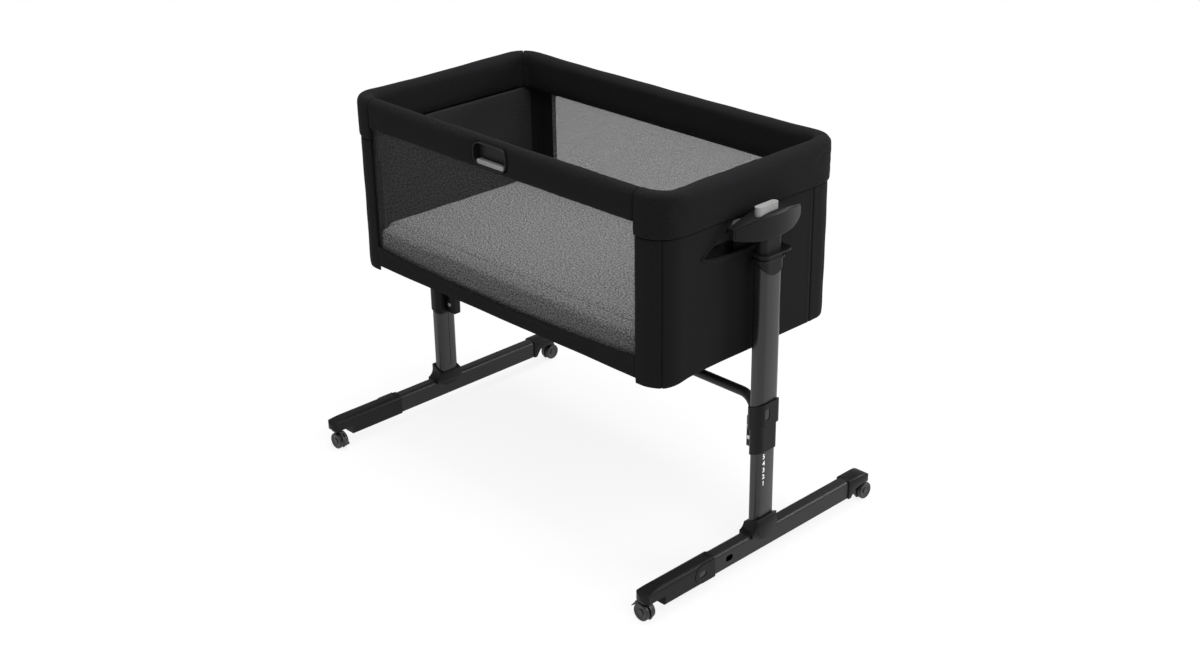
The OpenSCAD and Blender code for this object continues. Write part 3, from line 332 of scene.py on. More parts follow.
def coated(name, colour, scale, depth, rough, wear_and_highlight=0.5, metal=0.0, spec=0.5, bulge=0.0):
    """Grained plastic or powder coat with lightened edges, partly rubbed wear and partly a painted highlight, and
    for a bulge with crowned faces
    """
    t, bsdf = start_material(name)
    grain = use_group(t, "surface_grain", Scale=scale, Depth=depth)
    rub_and_highlight = maths(t, "MULTIPLY", use_group(t, "edge_wear_and_highlight")["Mask"], wear_and_highlight)
    cloud = shades(t, grain["Cloud"], colour, 0.88, 1.12, 0.3, 0.7)
    # Edges run towards five times the colour: partly rubbed wear, partly a painted highlight along the rounded edges
    mix = add_node(t, "ShaderNodeMix", {"Factor": rub_and_highlight, "A": cloud, "B": (*lighter(colour, 5), 1)}, data_type="RGBA")
    normal = grain["Normal"]
    if bulge:
        normal = use_group(t, "face_crown", Bulge=bulge, Normal=normal)["Normal"]
    uneven = maths(t, "ADD", maths(t, "MULTIPLY", grain["Cloud"], 0.16), rough - 0.08)
    feed(bsdf, {"Base Color": mix.outputs["Result"], "Normal": normal, "Roughness": uneven, "Metallic": metal,
                "Specular IOR Level": spec})


def board_finish(name, colour):
    t, bsdf = start_material(name)
    along = add_node(t, "ShaderNodeMapping", {0: object_coords(t), "Scale": (3, 60, 60)})
    grain = noise(t, along.outputs[0], 3, 8)
    feed(bsdf, {"Base Color": shades(t, grain, colour, 0.6, 1.3, 0.3, 0.7), "Roughness": 0.7})


def paint(obj, finish):
    obj.data.materials.clear()
    obj.data.materials.append(bpy.data.materials["finish_" + finish])


class CRIB_OT_finishes(bpy.types.Operator):
    """Makes the finishes and gives each frame node the one of its material slot"""
    bl_idname = "crib.finishes"
    bl_label = "Give Finishes"

    def execute(self, context):
        c = context.scene.crib_colours
        for make in (weave_group, net_group, grain_group, wear_and_highlight_group, crown_group):
            make()
        woven("black_fabric", c.fabric, pitch=mm(1.3), depth=0.35, contrast=0.4, rough=0.86, sheen=0.01, spec=0.08)
        woven("lining_fabric", c.lining, pitch=mm(2.2), depth=0.45, contrast=0.5, rough=0.92, sheen=0.02, spec=0.1)
        woven("melange_fabric", c.melange, pitch=mm(2.6), depth=0.4, contrast=0.62, rough=0.94, sheen=0.02,
              spec=0.15, slub=280, span=(0.42, 0.58))
        netting("mesh_fabric", c.net, pitch=mm(1.4), opening=-0.45)
        netting("window_net", c.window, pitch=mm(1.8), opening=1.35)
        coated("black_tube", c.tube, scale=700, depth=0.06, rough=0.42, wear_and_highlight=0.08, spec=0.26)
        coated("crowned_tube", c.tube, scale=700, depth=0.06, rough=0.3, wear_and_highlight=0.4, bulge=5.0)
        coated("bare_steel", c.steel, scale=300, depth=0.05, rough=0.32, wear_and_highlight=0.1, metal=1.0)
        coated("black_plastic", c.plastic, scale=1500, depth=0.12, rough=0.42, wear_and_highlight=0.6, spec=0.13)
        coated("caster_plastic", c.caster, scale=1500, depth=0.15, rough=0.45, wear_and_highlight=0.4)
        coated("wheel_plastic", c.caster, scale=900, depth=0.1, rough=0.5)
        coated("grey_plastic", c.button, scale=1800, depth=0.15, rough=0.45, wear_and_highlight=0.1)
        # The height and leg buttons are darker than the plastic round them: painted shade of the recesses they sit
        # in
        coated("button", lighter(c.plastic, 0.4), scale=1500, depth=0.08, rough=0.25, wear_and_highlight=0.3)
        coated("stitch_thread", lighter(c.fabric, 2.4), scale=1200, depth=0.2, rough=0.7, wear_and_highlight=0.0)
        board_finish("board_wood", c.board)
        for name, obj in NODES.items():
            finish = SLOTS[name]
            # These buttons take the dark button finish, whose darkness is painted shade of their recesses
            if name.startswith(("height_button", "leg_button")):
                finish = "button"
            elif name in ("guide_posts", "rail_tube"):
                finish = "black_tube"
            elif name.startswith(("upper_tube", "lower_tube")):
                finish = "crowned_tube"
            paint(obj, finish)
        return {"FINISHED"}


# ---------------------------------------------------------------- mesh helpers

def put(name, verts, faces, cloth=None, smooth=True):
    mesh = bpy.data.meshes.new(name)
    mesh.from_pydata([tuple(v) for v in verts], [], faces)
    mesh.validate()
    obj = bpy.data.objects.new(name, mesh)
    bpy.context.scene.collection.objects.link(obj)
    if cloth is not None:
        mark_cloth(obj, cloth)
    if smooth:
        shade_smooth(obj)
    return obj


def shade_smooth(obj):
    obj.data.polygons.foreach_set("use_smooth", [True] * len(obj.data.polygons))


def mark_cloth(obj, coords):
    attr = obj.data.attributes.get("cloth") or obj.data.attributes.new("cloth", "FLOAT_VECTOR", "POINT")
    attr.data.foreach_set("vector", np.asarray(coords, np.float32).ravel())


def only(obj):
    for o in bpy.context.selected_objects:
        o.select_set(False)
    obj.select_set(True)
    bpy.context.view_layer.objects.active = obj


def modify(obj, kind, **values):
    """Adds a modifier with these settings and applies it"""
    m = obj.modifiers.new(kind.lower(), kind)
    set_values(m, values)
    only(obj)
    bpy.ops.object.modifier_apply(modifier=m.name)


def thicken(obj, thickness):
    modify(obj, "SOLIDIFY", thickness=thickness, offset=-1, use_even_offset=False)


def combine(obj, tool, operation):
    modify(obj, "BOOLEAN", operation=operation, solver="EXACT", object=tool)
    bpy.data.objects.remove(tool)


def outward(obj, weld=None):
    """Turns all faces outwards, after welding points closer together than weld"""
    only(obj)
    bpy.ops.object.mode_set(mode="EDIT")
    bpy.ops.mesh.select_all(action="SELECT")
    if weld:
        bpy.ops.mesh.remove_doubles(threshold=weld)
    bpy.ops.mesh.normals_make_consistent(inside=False)
    bpy.ops.object.mode_set(mode="OBJECT")


def block(name, middle, size, round_by, segments, axis=None):
    """A box from the cube primitive, with its edges bevelled: all of them, or those along one axis"""
    bpy.ops.mesh.primitive_cube_add(size=1, location=middle)
    obj = bpy.context.object
    obj.name = name
    obj.scale = size
    bpy.ops.object.transform_apply(location=True, scale=True)
    if axis is not None:
        for e in obj.data.edges:
            a, b = (obj.data.vertices[i].co for i in e.vertices)
            e.select = abs(a[axis] - b[axis]) > mm(0.1)
    bpy.ops.object.mode_set(mode="EDIT")
    if axis is None:
        bpy.ops.mesh.select_all(action="SELECT")
    else:
        bpy.ops.mesh.select_mode(type="EDGE")
    bpy.ops.mesh.bevel(offset=round_by, segments=segments, affect="EDGES")
    bpy.ops.object.mode_set(mode="OBJECT")
    return obj


def dress(obj, slot="black_fabric", body="basket", replaces=()):
    """The piece's finish, the body it rides on and the nodes it stands for"""
    paint(obj, slot)
    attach(obj, body)
    if replaces:
        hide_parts(*replaces)


def grid(name, nu, nv, at, flip=False):
    """A sheet of quads. For each step along and up, at gives the point and its place on the flat cloth."""
    verts, cloth = zip(*(at(i, j) for i in range(nu + 1) for j in range(nv + 1)))
    k = nv + 1
    faces = [(i * k + j, (i + 1) * k + j, (i + 1) * k + j + 1, i * k + j + 1) for i in range(nu) for j in range(nv)]
    return put(name, verts, [f[::-1] for f in faces] if flip else faces, [(u, v, 0) for u, v in cloth])


def ring_faces(rings, k):
    """Quads that join rings of k points into a tube"""
    return [(i * k + j, (i + 1) * k + j, (i + 1) * k + (j + 1) % k, i * k + (j + 1) % k)
            for i in range(rings - 1) for j in range(k)]


def running(points):
    """The length along a line up to each of its points"""
    runs = [0.0]
    for a, b in zip(points, points[1:]):
        runs.append(runs[-1] + (b - a).length)
    return runs


def plan_path(start, end, hx, hy, r, step, close=()):
    """Points and outward normals along a rounded rectangle, from one length along it to another.
    It runs from the front's middle along the front to the right, and on round the crib."""
    arc = math.pi / 2 * r
    legs = ((hx - r, None, (0, -hy), (1, 0)), (arc, -90, (hx - r, -hy + r), None),
            (2 * (hy - r), None, (hx, -hy + r), (0, 1)), (arc, 0, (hx - r, hy - r), None),
            (2 * (hx - r), None, (hx - r, hy), (-1, 0)), (arc, 90, (-hx + r, hy - r), None),
            (2 * (hy - r), None, (-hx, hy - r), (0, -1)), (arc, 180, (-hx + r, -hy + r), None),
            (hx - r, None, (-hx + r, -hy), (1, 0)))
    n = max(2, int(round((end - start) / step)))
    lengths = [start + (end - start) * i / n for i in range(n + 1)]
    lengths = sorted([d for d in lengths if all(abs(d - c) > mm(0.5) for c in close)] + list(close))
    out = []
    for d in lengths:
        x = d
        for length, turn, at, way in legs:
            if x <= length + 1e-9:
                break
            x -= length
        if turn is None:
            out.append((at[0] + way[0] * x, at[1] + way[1] * x, way[1], -way[0], d))
        else:
            a = math.radians(turn) + x / r
            out.append((at[0] + r * math.cos(a), at[1] + r * math.sin(a), math.cos(a), math.sin(a), d))
    return out


def ripple(s, z, seed):
    """Slack of hung fabric: long soft waves, in metres"""
    return (mm(0.35) * math.sin(19 * s + 3.1 * seed + 5 * z) + mm(0.3) * math.sin(43 * s - 21 * z + seed)
            + mm(0.22) * math.sin(71 * z + 13 * s + 2 * seed))


def wall_sheet(name, start, end, low, high, seed, grooves=(), side=1, dip=0.0):
    """A panel of the wall on the wall's plan between two heights, wavy as cloth is and drawn in at its
    grooves, with its lower edge dipping at the start"""
    step = mm(4)
    close = [g + mm(0.6) * k for g in grooves for k in range(-7, 8)]
    path = plan_path(start, end, WALL[1].x, BACK[1].y, bpy.context.scene.crib_sizes.corner_radius, step,
                     [d for d in close if start < d < end])
    rows = max(2, int(round((high - low) / step)))

    def at(i, j):
        x, y, nx, ny, d = path[i]
        foot = low - dip * math.exp(-((d - start) / mm(45)) ** 2)
        z = foot + (high - foot) * j / rows
        off = -mm(0.8) + ripple(d, z, seed) - mm(1.2) * math.exp(-min(j, rows - j) / rows * 40)
        for g in grooves:
            off -= mm(2.4) * math.exp(-((d - g) / mm(1.1)) ** 2)
            off += mm(0.6) * math.exp(-((abs(d - g) - mm(6)) / mm(4)) ** 2)
        return (side * (x + nx * off), y + ny * off, z), (d, z)

    return grid(name, len(path) - 1, rows, at, flip=side < 0)


def prism_x(name, outline, a, b):
    """A closed outline in y and z, run between two values of x"""
    n = len(outline)
    verts = [(a, y, z) for y, z in outline] + [(b, y, z) for y, z in outline]
    faces = [tuple(range(n))[::-1], tuple(range(n, 2 * n))]
    faces += [(i, (i + 1) % n, n + (i + 1) % n, n + i) for i in range(n)]
    obj = put(name, verts, faces, smooth=False)
    outward(obj)
    return obj


def slot_edge(extra=0.0):
    """The slot's edge in y and z, from its upper left end down round its lip to its upper right end.
    It is a smooth line through the points of SLOT_SHAPE, and extra moves it out over the cloth."""
    points = [Vector((mm(y), mm(z))) for y, z in SLOT_SHAPE]
    last, parts = len(points) - 1, 9
    line = []
    for i in range(last):
        p0, p1, p2, p3 = points[max(i - 1, 0)], points[i], points[i + 1], points[min(i + 2, last)]
        for k in range(parts):
            t = k / parts
            line.append(0.5 * ((2 * p1) + (p2 - p0) * t + (2 * p0 - 5 * p1 + 4 * p2 - p3) * t * t
                               + (3 * p1 - p0 - 3 * p2 + p3) * t ** 3))
    line.append(points[-1])
    out = []
    for i, p in enumerate(line):
        way = (line[min(i + 1, len(line) - 1)] - line[max(i - 1, 0)]).normalized()
        out.append((p.x + way.y * extra, p.y - way.x * extra))
    return out


def rounded(points):
    """Corners of an open line softened"""
    p = [Vector(q) for q in points]
    for _ in range(2):
        p = [p[0]] + [(p[i - 1] + 2 * p[i] + p[i + 1]) / 4 for i in range(1, len(p) - 1)] + [p[-1]]
    return p


TAPE_SECTION = ((0.0, 0.0), (0.0, 0.6), (0.15, 1.0), (0.85, 1.0), (1.0, 0.6), (1.0, 0.0))


def tape(name, points, normals, across, width, thick):
    """A flat binding along a line: across points from the line over the cloth, normals out of it"""
    points = [Vector(p) for p in points]
    verts, cloth = [], []
    for p, out, over, run in zip(points, normals, across, running(points)):
        for u, v in TAPE_SECTION:
            verts.append(p + Vector(over) * width * u + Vector(out) * thick * v)
            cloth.append((run, u * width, 0))
    k, n = len(TAPE_SECTION), len(verts)
    ends = [tuple(range(k)), tuple(range(n - k, n))[::-1]]
    obj = put(name, verts, ring_faces(len(points), k) + ends, cloth)
    outward(obj)
    dress(obj)


# A stitch: its length and radius, and its rings as shares of the two
STITCH, THREAD = mm(2.4), mm(0.32)
STITCH_RINGS = ((-0.5, 0.35), (-0.3, 1.0), (0.3, 1.0), (0.5, 0.35))
STITCH_SIDES = 5
STITCH_FACES = [f[::-1] for f in ring_faces(4, STITCH_SIDES)] + [(4, 3, 2, 1, 0), (15, 16, 17, 18, 19)]


def stitch_row(name, points, normals):
    """A row of short raised stitches along a line"""
    pitch = bpy.context.scene.crib_sizes.stitch
    pts = [Vector(p) for p in points]
    nor = [Vector(v) for v in normals]
    runs = running(pts)
    verts, faces = [], []
    d = pitch / 2
    i = 0
    while d < runs[-1]:
        while i < len(runs) - 2 and runs[i + 1] < d:
            i += 1
        f = (d - runs[i]) / max(runs[i + 1] - runs[i], 1e-9)
        c = pts[i].lerp(pts[i + 1], f)
        n = nor[i].lerp(nor[i + 1], f).normalized()
        t = (pts[i + 1] - pts[i]).normalized()
        w = t.cross(n)
        faces += [tuple(len(verts) + k for k in face) for face in STITCH_FACES]
        for along, grow in STITCH_RINGS:
            for k in range(STITCH_SIDES):
                a = 2 * math.pi * k / STITCH_SIDES
                verts.append(c + t * STITCH * along + (math.cos(a) * w + math.sin(a) * n) * THREAD * grow)
        d += pitch
    dress(put(name, verts, faces), "stitch_thread")


def swell(obj, cap, force, held=None):
    """Lets cloth settle under pressure, caps each point's move, and subdivides the result"""
    scene = bpy.context.scene
    rest = vertex_array(obj)
    m = obj.modifiers.new("cloth", "CLOTH")
    set_values(m.settings, dict(
        quality=4, mass=0.3, tension_stiffness=15, compression_stiffness=15, shear_stiffness=5,
        bending_stiffness=0.5, use_pressure=True, uniform_pressure_force=scene.crib_sizes.pressure * force))
    m.settings.effector_weights.gravity = 0
    if held is not None:
        obj.vertex_groups.new(name="held").add(np.nonzero(held(rest))[0].tolist(), 1.0, "REPLACE")
        m.settings.vertex_group_mass = "held"
    for f in range(1, scene.crib_sizes.frames + 1):
        scene.frame_set(f)
    shown = obj.evaluated_get(bpy.context.evaluated_depsgraph_get())
    co = np.zeros(rest.size)
    shown.to_mesh().vertices.foreach_get("co", co)
    shown.to_mesh_clear()
    obj.modifiers.remove(m)
    scene.frame_set(1)
    move = co.reshape(-1, 3) - rest
    size = np.linalg.norm(move, axis=1, keepdims=True)
    set_vertices(obj, rest + move * cap * np.tanh(size / cap) / np.maximum(size, 1e-9))
    obj.vertex_groups.clear()
    modify(obj, "SUBSURF", levels=1, render_levels=1)
    shade_smooth(obj)


def vertex_array(obj):
    co = np.zeros(len(obj.data.vertices) * 3)
    obj.data.vertices.foreach_get("co", co)
    return co.reshape(-1, 3)


def set_vertices(obj, co):
    obj.data.vertices.foreach_set("co", co.ravel())
    obj.data.update()


def pad_section(half, top, low_out, low_in, radii, count):
    """Even points round a pad's section, as distance outwards and height, with their lengths along it"""
    corners = [Vector(c) for c in ((half, low_out), (half, top), (-half, top), (-half, low_in))]
    line = []
    for k, (p, r) in enumerate(zip(corners, radii)):
        a = p + (corners[k - 1] - p).normalized() * r
        b = p + (corners[(k + 1) % 4] - p).normalized() * r
        line += [(1 - t) ** 2 * a + 2 * t * (1 - t) * p + t * t * b for t in (i / 8 for i in range(9))]
    line.append(line[0])
    runs = running(line)
    out = []
    for i in range(count):
        d = runs[-1] * i / count
        k = min(max(j for j in range(len(runs)) if runs[j] <= d + 1e-12), len(line) - 2)
        f = (d - runs[k]) / max(runs[k + 1] - runs[k], 1e-9)
        out.append((line[k].lerp(line[k + 1], f), d))
    return out


def pad_sweep(name, path, section, seed):
    """A closed pad along a path: its section drawn in at both end seams, with puckers beside them"""
    tuck, pucker_width, pucker_pitch = 0.035, mm(22), mm(19)
    mid_n = sum(p.x for p, _ in section) / len(section)
    mid_z = sum(p.y for p, _ in section) / len(section)
    first, last = path[0][4], path[-1][4]
    verts, cloth = [], []
    for x, y, nx, ny, d in path:
        near = min(d - first, last - d)
        pull = 1 - tuck * math.exp(-near / mm(2))
        for p, run in section:
            lump = (mm(0.35) * math.sin(23 * d + 31 * p.x + seed) + mm(0.3) * math.sin(61 * d - 40 * p.y + 2 * seed)
                    + mm(0.5) * math.exp(-near / pucker_width) * math.sin(2 * math.pi * run / pucker_pitch + seed))
            n = mid_n + (p.x - mid_n) * pull + lump * max(-1.0, min(1.0, (p.x - mid_n) / mm(17)))
            z = mid_z + (p.y - mid_z) * (1 - (1 - pull) * 0.6) + lump * (0.5 if p.y > mid_z + mm(30) else 0)
            verts.append((x + nx * n, y + ny * n, z))
            cloth.append((d, run, 0))
    k = len(section)
    faces = ring_faces(len(path), k)
    for ring, way in ((0, 1), (len(path) - 1, -1)):
        x, y, nx, ny, d = path[ring]
        faces += [(len(verts), ring * k + j, ring * k + (j + 1) % k)[::way] for j in range(k)]
        verts.append((x + nx * mid_n, y + ny * mid_n, mid_z))
        cloth.append((d, 0, 0))
    obj = put(name, verts, faces, cloth)
    outward(obj)
    return obj


# ---------------------------------------------------------------- pieces

class CRIB_OT_rim(bpy.types.Operator):
    """Builds the padded rim in three sewn lengths round the top frame"""
    bl_idname = "crib.rim"
    bl_label = "Build Rim Pads"

    def execute(self, context):
        s = context.scene.crib_sizes
        hx, hy = RIM[1].x - s.pad_half, -RIM[0].y - s.pad_half
        r = s.pad_turn
        arc = math.pi / 2 * r
        start = s.rail_end
        turn = hx - r + arc + 2 * (hy - r) + arc / 2
        back = turn + arc + 2 * (hx - r)
        section = pad_section(s.pad_half - mm(0.6), RIM[1].z - mm(1.6), RIM[0].z - mm(1.2), s.rim_inner_low,
                              radii=(mm(5), mm(16), mm(15), mm(9)), count=40)
        overlap = mm(0.15)
        for part, a, b, side, seed in (("right", start, turn, 1, 0.4), ("back", turn, back, 1, 2.2),
                                       ("left", start, turn, -1, 3.7)):
            close = [a + mm(1.4 * k) for k in range(1, 5)] + [b - mm(1.4 * k) for k in range(1, 5)]
            path = plan_path(a - (0 if a == start else overlap), b + overlap, hx, hy, r, step=mm(6.5), close=close)
            path = [(side * x, y, side * nx, ny, d) for x, y, nx, ny, d in path]
            obj = pad_sweep("rim_pad_%s_cover" % part, path, section, seed)

            def held(co, ends=(path[0], path[-1])):
                gap = np.min([np.hypot(co[:, 0] - e[0], co[:, 1] - e[1]) for e in ends], axis=0)
                return (gap < mm(19)) | (co[:, 2] < RIM[0].z + mm(6))

            swell(obj, cap=mm(2.4), force=0.5, held=held)
            dress(obj, replaces=["rim_pad_" + part])
        self.facing(start, back + turn - start, hx, hy, r)
        return {"FINISHED"}

    def facing(self, start, end, hx, hy, r):
        """The strip of cloth that joins the walls to the rim all round, behind the seam"""
        path = plan_path(start, end, hx, hy, r, step=mm(7))
        levels = ((WALL[1].z - mm(3), mm(8)), (WALL[1].z, mm(9)), (RIM[0].z + mm(14), mm(4)))

        def at(i, j):
            x, y, nx, ny, d = path[i]
            z, out = levels[j]
            return (x + nx * out, y + ny * out, z), (d, z)

        obj = grid("rim_facing", len(path) - 1, len(levels) - 1, at)
        thicken(obj, mm(1))
        dress(obj)


class CRIB_OT_rail(bpy.types.Operator):
    """Builds the drop side's padded rail with its recess"""
    bl_idname = "crib.rail"
    bl_label = "Build Rail Pad"

    def execute(self, context):
        lo, hi = RAIL
        low, high = BEZEL
        mid = (lo.y + hi.y) / 2
        mid_z = (low.z + high.z) / 2
        section = pad_section((hi.y - lo.y) / 2 - mm(0.6), hi.z - mm(1.6), lo.z + mm(0.6), lo.z + mm(0.6),
                              radii=(mm(8), mm(16), mm(15), mm(8)), count=30)
        n, length = 116, hi.x - lo.x
        path = [(lo.x + mm(0.2) + (length - mm(0.4)) * i / n, mid, 0, -1, length * i / n) for i in range(n + 1)]
        obj = pad_sweep("rail_pad_cover", path, section, seed=1.3)

        def held(co):
            by_end = np.abs(co[:, 0]) > hi.x - mm(14)
            by_recess = (np.abs(co[:, 0]) < high.x + mm(9)) & (co[:, 1] < mid)
            return by_end | by_recess | (co[:, 2] < lo.z + mm(5))

        swell(obj, cap=mm(2.2), force=0.5, held=held)
        # The front face is drawn in round the recess, which is then cut out
        co = vertex_array(obj)
        gap_x = np.maximum(np.abs(co[:, 0]) - high.x, 0)
        gap_z = np.maximum(np.abs(co[:, 2] - mid_z) - (high.z - low.z) / 2, 0)
        co[:, 1] += mm(1.7) * np.exp(-np.hypot(gap_x, gap_z) / mm(5)) * (co[:, 1] < mid)
        set_vertices(obj, co)
        cutter = block("recess", (0, low.y + mm(4), mid_z), (high.x - low.x - mm(1), mm(34), high.z - low.z - mm(1)),
                       round_by=mm(11), segments=7, axis=1)
        combine(obj, cutter, "DIFFERENCE")
        co = vertex_array(obj)
        mark_cloth(obj, np.stack([co[:, 0], co[:, 2] - 0.7 * co[:, 1], 0 * co[:, 0]], 1))
        dress(obj, body="drop_side", replaces=["rail_pad"])
        return {"FINISHED"}


class CRIB_OT_walls(bpy.types.Operator):
    """Builds the end walls with their slots, the back wall with its window, the front corners and the hem"""
    bl_idname = "crib.walls"
    bl_label = "Build Walls"

    def execute(self, context):
        s = context.scene.crib_sizes
        hx, hy, r = WALL[1].x, BACK[1].y, s.corner_radius
        arc = math.pi / 2 * r
        low, high = WALL[0].z, WALL[1].z
        corner_low = CORNER[0].z
        end_start = hx - r + arc / 2
        end_len = arc / 2 + 2 * (hy - r) + arc
        seam = hx - r + arc + (hy - r) + s.seam_back
        lap = mm(0.1)
        for side, word in ((1, "right"), (-1, "left")):
            obj = wall_sheet("end_wall_%s_cloth" % word, end_start - lap, end_start + end_len - lap, low, high,
                             1.7 * side, (end_start, seam), side, dip=low - corner_low)
            thicken(obj, s.fabric)
            combine(obj, prism_x("slot", slot_edge(), side * (hx - mm(20)), side * (hx + mm(20))), "DIFFERENCE")
            dress(obj, replaces=["end_wall_" + word])
            corner = wall_sheet("front_corner_%s_cloth" % word, CORNER[0].x + mm(0.4), end_start + lap,
                                corner_low, high, 1.7 * side, (end_start,), side)
            thicken(corner, s.fabric)
            dress(corner, replaces=["front_corner_" + word])
        half = hx - r
        self.back_wall(s, low, high, end_start + end_len, half, lap)
        self.front_hem(s)
        return {"FINISHED"}

    def back_wall(self, s, low, high, start, half, lap):
        obj = wall_sheet("back_wall_cloth", start - lap, start + 2 * half + lap, low, high, seed=4.2)
        thicken(obj, s.fabric)
        size = (2 * s.window_half, mm(60), s.window_high - s.window_low)
        middle = (0, BACK[1].y, (s.window_low + s.window_high) / 2)
        cutter = block("window", middle, size, round_by=WINDOW_CORNER, segments=5)
        combine(obj, cutter, "DIFFERENCE")
        dress(obj, replaces=["back_wall"])

    def front_hem(self, s):
        lo, hi = HEM
        n, rows = 150, 7

        def at(i, j):
            x = lo.x + (hi.x - lo.x) * i / n
            z = lo.z + (hem_edge(x) - lo.z) * j / rows
            return (x, lo.y + mm(0.8) + ripple(x, z, 0.4), z), (x, z)

        obj = grid("front_hem_cloth", n, rows, at)
        thicken(obj, s.fabric)
        dress(obj, replaces=["front_hem"])


def hem_edge(x):
    """Height of the hem's upper edge, which is an arc that rises towards its ends"""
    s = bpy.context.scene.crib_sizes
    radius = (HEM[1].x ** 2 + s.hem_rise ** 2) / (2 * s.hem_rise)
    return s.hem_mid + radius - math.sqrt(radius * radius - x * x)


class CRIB_OT_nets(bpy.types.Operator):
    """Builds the fine nets of the drop side and the back window"""
    bl_idname = "crib.nets"
    bl_label = "Build Nets"

    def execute(self, context):
        nx, nz = 120, 44
        for name, (lo, hi), out in (("front_net_cloth", FRONT_NET, -1), ("back_net_cloth", BACK_NET, 1)):
            def at(i, j):
                x = lo.x + (hi.x - lo.x) * i / nx
                z = lo.z + (hi.z - lo.z) * j / nz
                rise = math.sin(math.pi * j / nz)
                slack = mm(0.9) * math.sin(math.pi * i / nx) * rise + mm(0.35) * math.sin(11 * x + 17 * z) * rise
                return (x, (lo.y + hi.y) / 2 - out * slack, z), (x, z)

            obj = grid(name, nx, nz, at, flip=out > 0)
            if out < 0:
                paint(obj, "mesh_fabric")
                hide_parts("front_mesh")
                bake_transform(obj)
            else:
                dress(obj, "window_net", replaces=["back_mesh"])
        return {"FINISHED"}


class CRIB_OT_linings(bpy.types.Operator):
    """Builds the padded linings at both ends, the floor strip and the cover under the board"""
    bl_idname = "crib.linings"
    bl_label = "Build Linings"

    def execute(self, context):
        s = context.scene.crib_sizes
        lo, hi = LINING
        width, height = 2 * hi.y, s.rim_inner_low - mm(0.6) - lo.z
        ny, nz = 90, 48
        for side, word in ((1, "right"), (-1, "left")):
            def at(i, j):
                y, z = -hi.y + width * i / ny, lo.z + height * j / nz
                pad = mm(1.4) * (1 - math.exp(-min(i, ny - i) / ny * 30)) * (1 - math.exp(-min(j, nz - j) / nz * 24))
                return (side * (hi.x - mm(2.2) - pad + ripple(y, z, 6.3 + side)), y, z), (y, z)

            obj = grid("end_lining_%s_cloth" % word, ny, nz, at, flip=side > 0)
            thicken(obj, mm(1.5))
            dress(obj, "lining_fabric", replaces=["end_linings"] if side > 0 else [])
        low, high = COVER
        cover = self.flat_sheet("bottom_cover_cloth", low.x, high.x, low.y, high.y, high.z - mm(0.2),
                                corner=mm(48), sag=mm(0.5))
        thicken(cover, mm(1.2))
        dress(cover, replaces=["bottom_cover"])
        half, front, rear = s.rail_end, BOARD[0].y + mm(1), MATTRESS[0].y + mm(8)
        strip = self.flat_sheet("floor_strip_cloth", -half, half, front, rear, BOARD[1].z + mm(0.4),
                                corner=mm(2), sag=0)
        thicken(strip, mm(0.2))
        dress(strip)
        return {"FINISHED"}

    def flat_sheet(self, name, x0, x1, y0, y1, z, corner, sag):
        """A level sheet with rounded corners that sags towards its middle"""
        nx, ny = 80, max(4, int((y1 - y0) / mm(10)))
        mid = (y0 + y1) / 2

        def at(i, j):
            u, v = i / nx, j / ny
            x, y = x0 + (x1 - x0) * u, y0 + (y1 - y0) * v
            over_x = max(abs(x) - (x1 - corner), 0)
            over_y = max(abs(y - mid) - ((y1 - y0) / 2 - corner), 0)
            over = math.hypot(over_x, over_y)
            if over > corner:
                x -= math.copysign(over_x * (1 - corner / over), x)
                y -= math.copysign(over_y * (1 - corner / over), y - mid)
            fall = sag * math.sin(math.pi * u) * math.sin(math.pi * v)
            return (x, y, z - fall + 0.2 * ripple(x, y, 9.1)), (x, y)

        return grid(name, nx, ny, at)


class CRIB_OT_mattress(bpy.types.Operator):
    """Builds the mattress in its melange cover"""
    bl_idname = "crib.mattress"
    bl_label = "Build Mattress"

    def execute(self, context):
        lo, hi = MATTRESS
        size = hi - lo + Vector((-mm(1), -mm(1), mm(1)))
        obj = block("mattress_cover", (lo + hi) / 2, size, round_by=mm(16), segments=5, axis=2)
        modify(obj, "REMESH", mode="VOXEL", voxel_size=mm(6.5))
        modify(obj, "SMOOTH", iterations=2, factor=0.4)
        modify(obj, "DISPLACE", strength=-mm(1.4), mid_level=0)
        swell(obj, cap=mm(3), force=0.6)
        co = vertex_array(obj)
        co[:, 2] = np.maximum(co[:, 2], lo.z + mm(0.1))
        set_vertices(obj, co)
        mark_cloth(obj, np.stack([co[:, 0] + 0.6 * co[:, 2], co[:, 1] + 0.8 * co[:, 2], 0 * co[:, 0]], 1))
        dress(obj, "melange_fabric", replaces=["mattress"])
        self.skirt(context.scene.crib_sizes)
        return {"FINISHED"}

    def skirt(self, s):
        """The cover's front flap, which fills the gap to the net and hangs to the board"""
        lo, hi = MATTRESS
        net = FRONT_NET[1].y + mm(1.6)
        half = s.rail_end - mm(2)
        line = [(lo.y + mm(9), hi.z - mm(1)), (lo.y, hi.z - mm(1)), (net + mm(12), hi.z - mm(2)),
                (net + mm(5), hi.z - mm(5)), (net + mm(1.5), hi.z - mm(11)), (net, hi.z - mm(22)),
                (net, hi.z - mm(40)), (net + mm(0.5), BOARD[1].z + mm(1.5))]
        runs = running([Vector(p) for p in line])
        n = 110

        def at(i, j):
            x, (y, z) = -half + 2 * half * i / n, line[j]
            return (x, y + 0.8 * abs(ripple(x, z, 7.7)), z + ripple(x, y, 3.3)), (x, lo.y - runs[j])

        obj = grid("mattress_skirt", n, len(line) - 1, at, flip=True)
        modify(obj, "SUBSURF", levels=1, render_levels=1)
        thicken(obj, mm(0.8))
        dress(obj, "melange_fabric")
        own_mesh(obj)


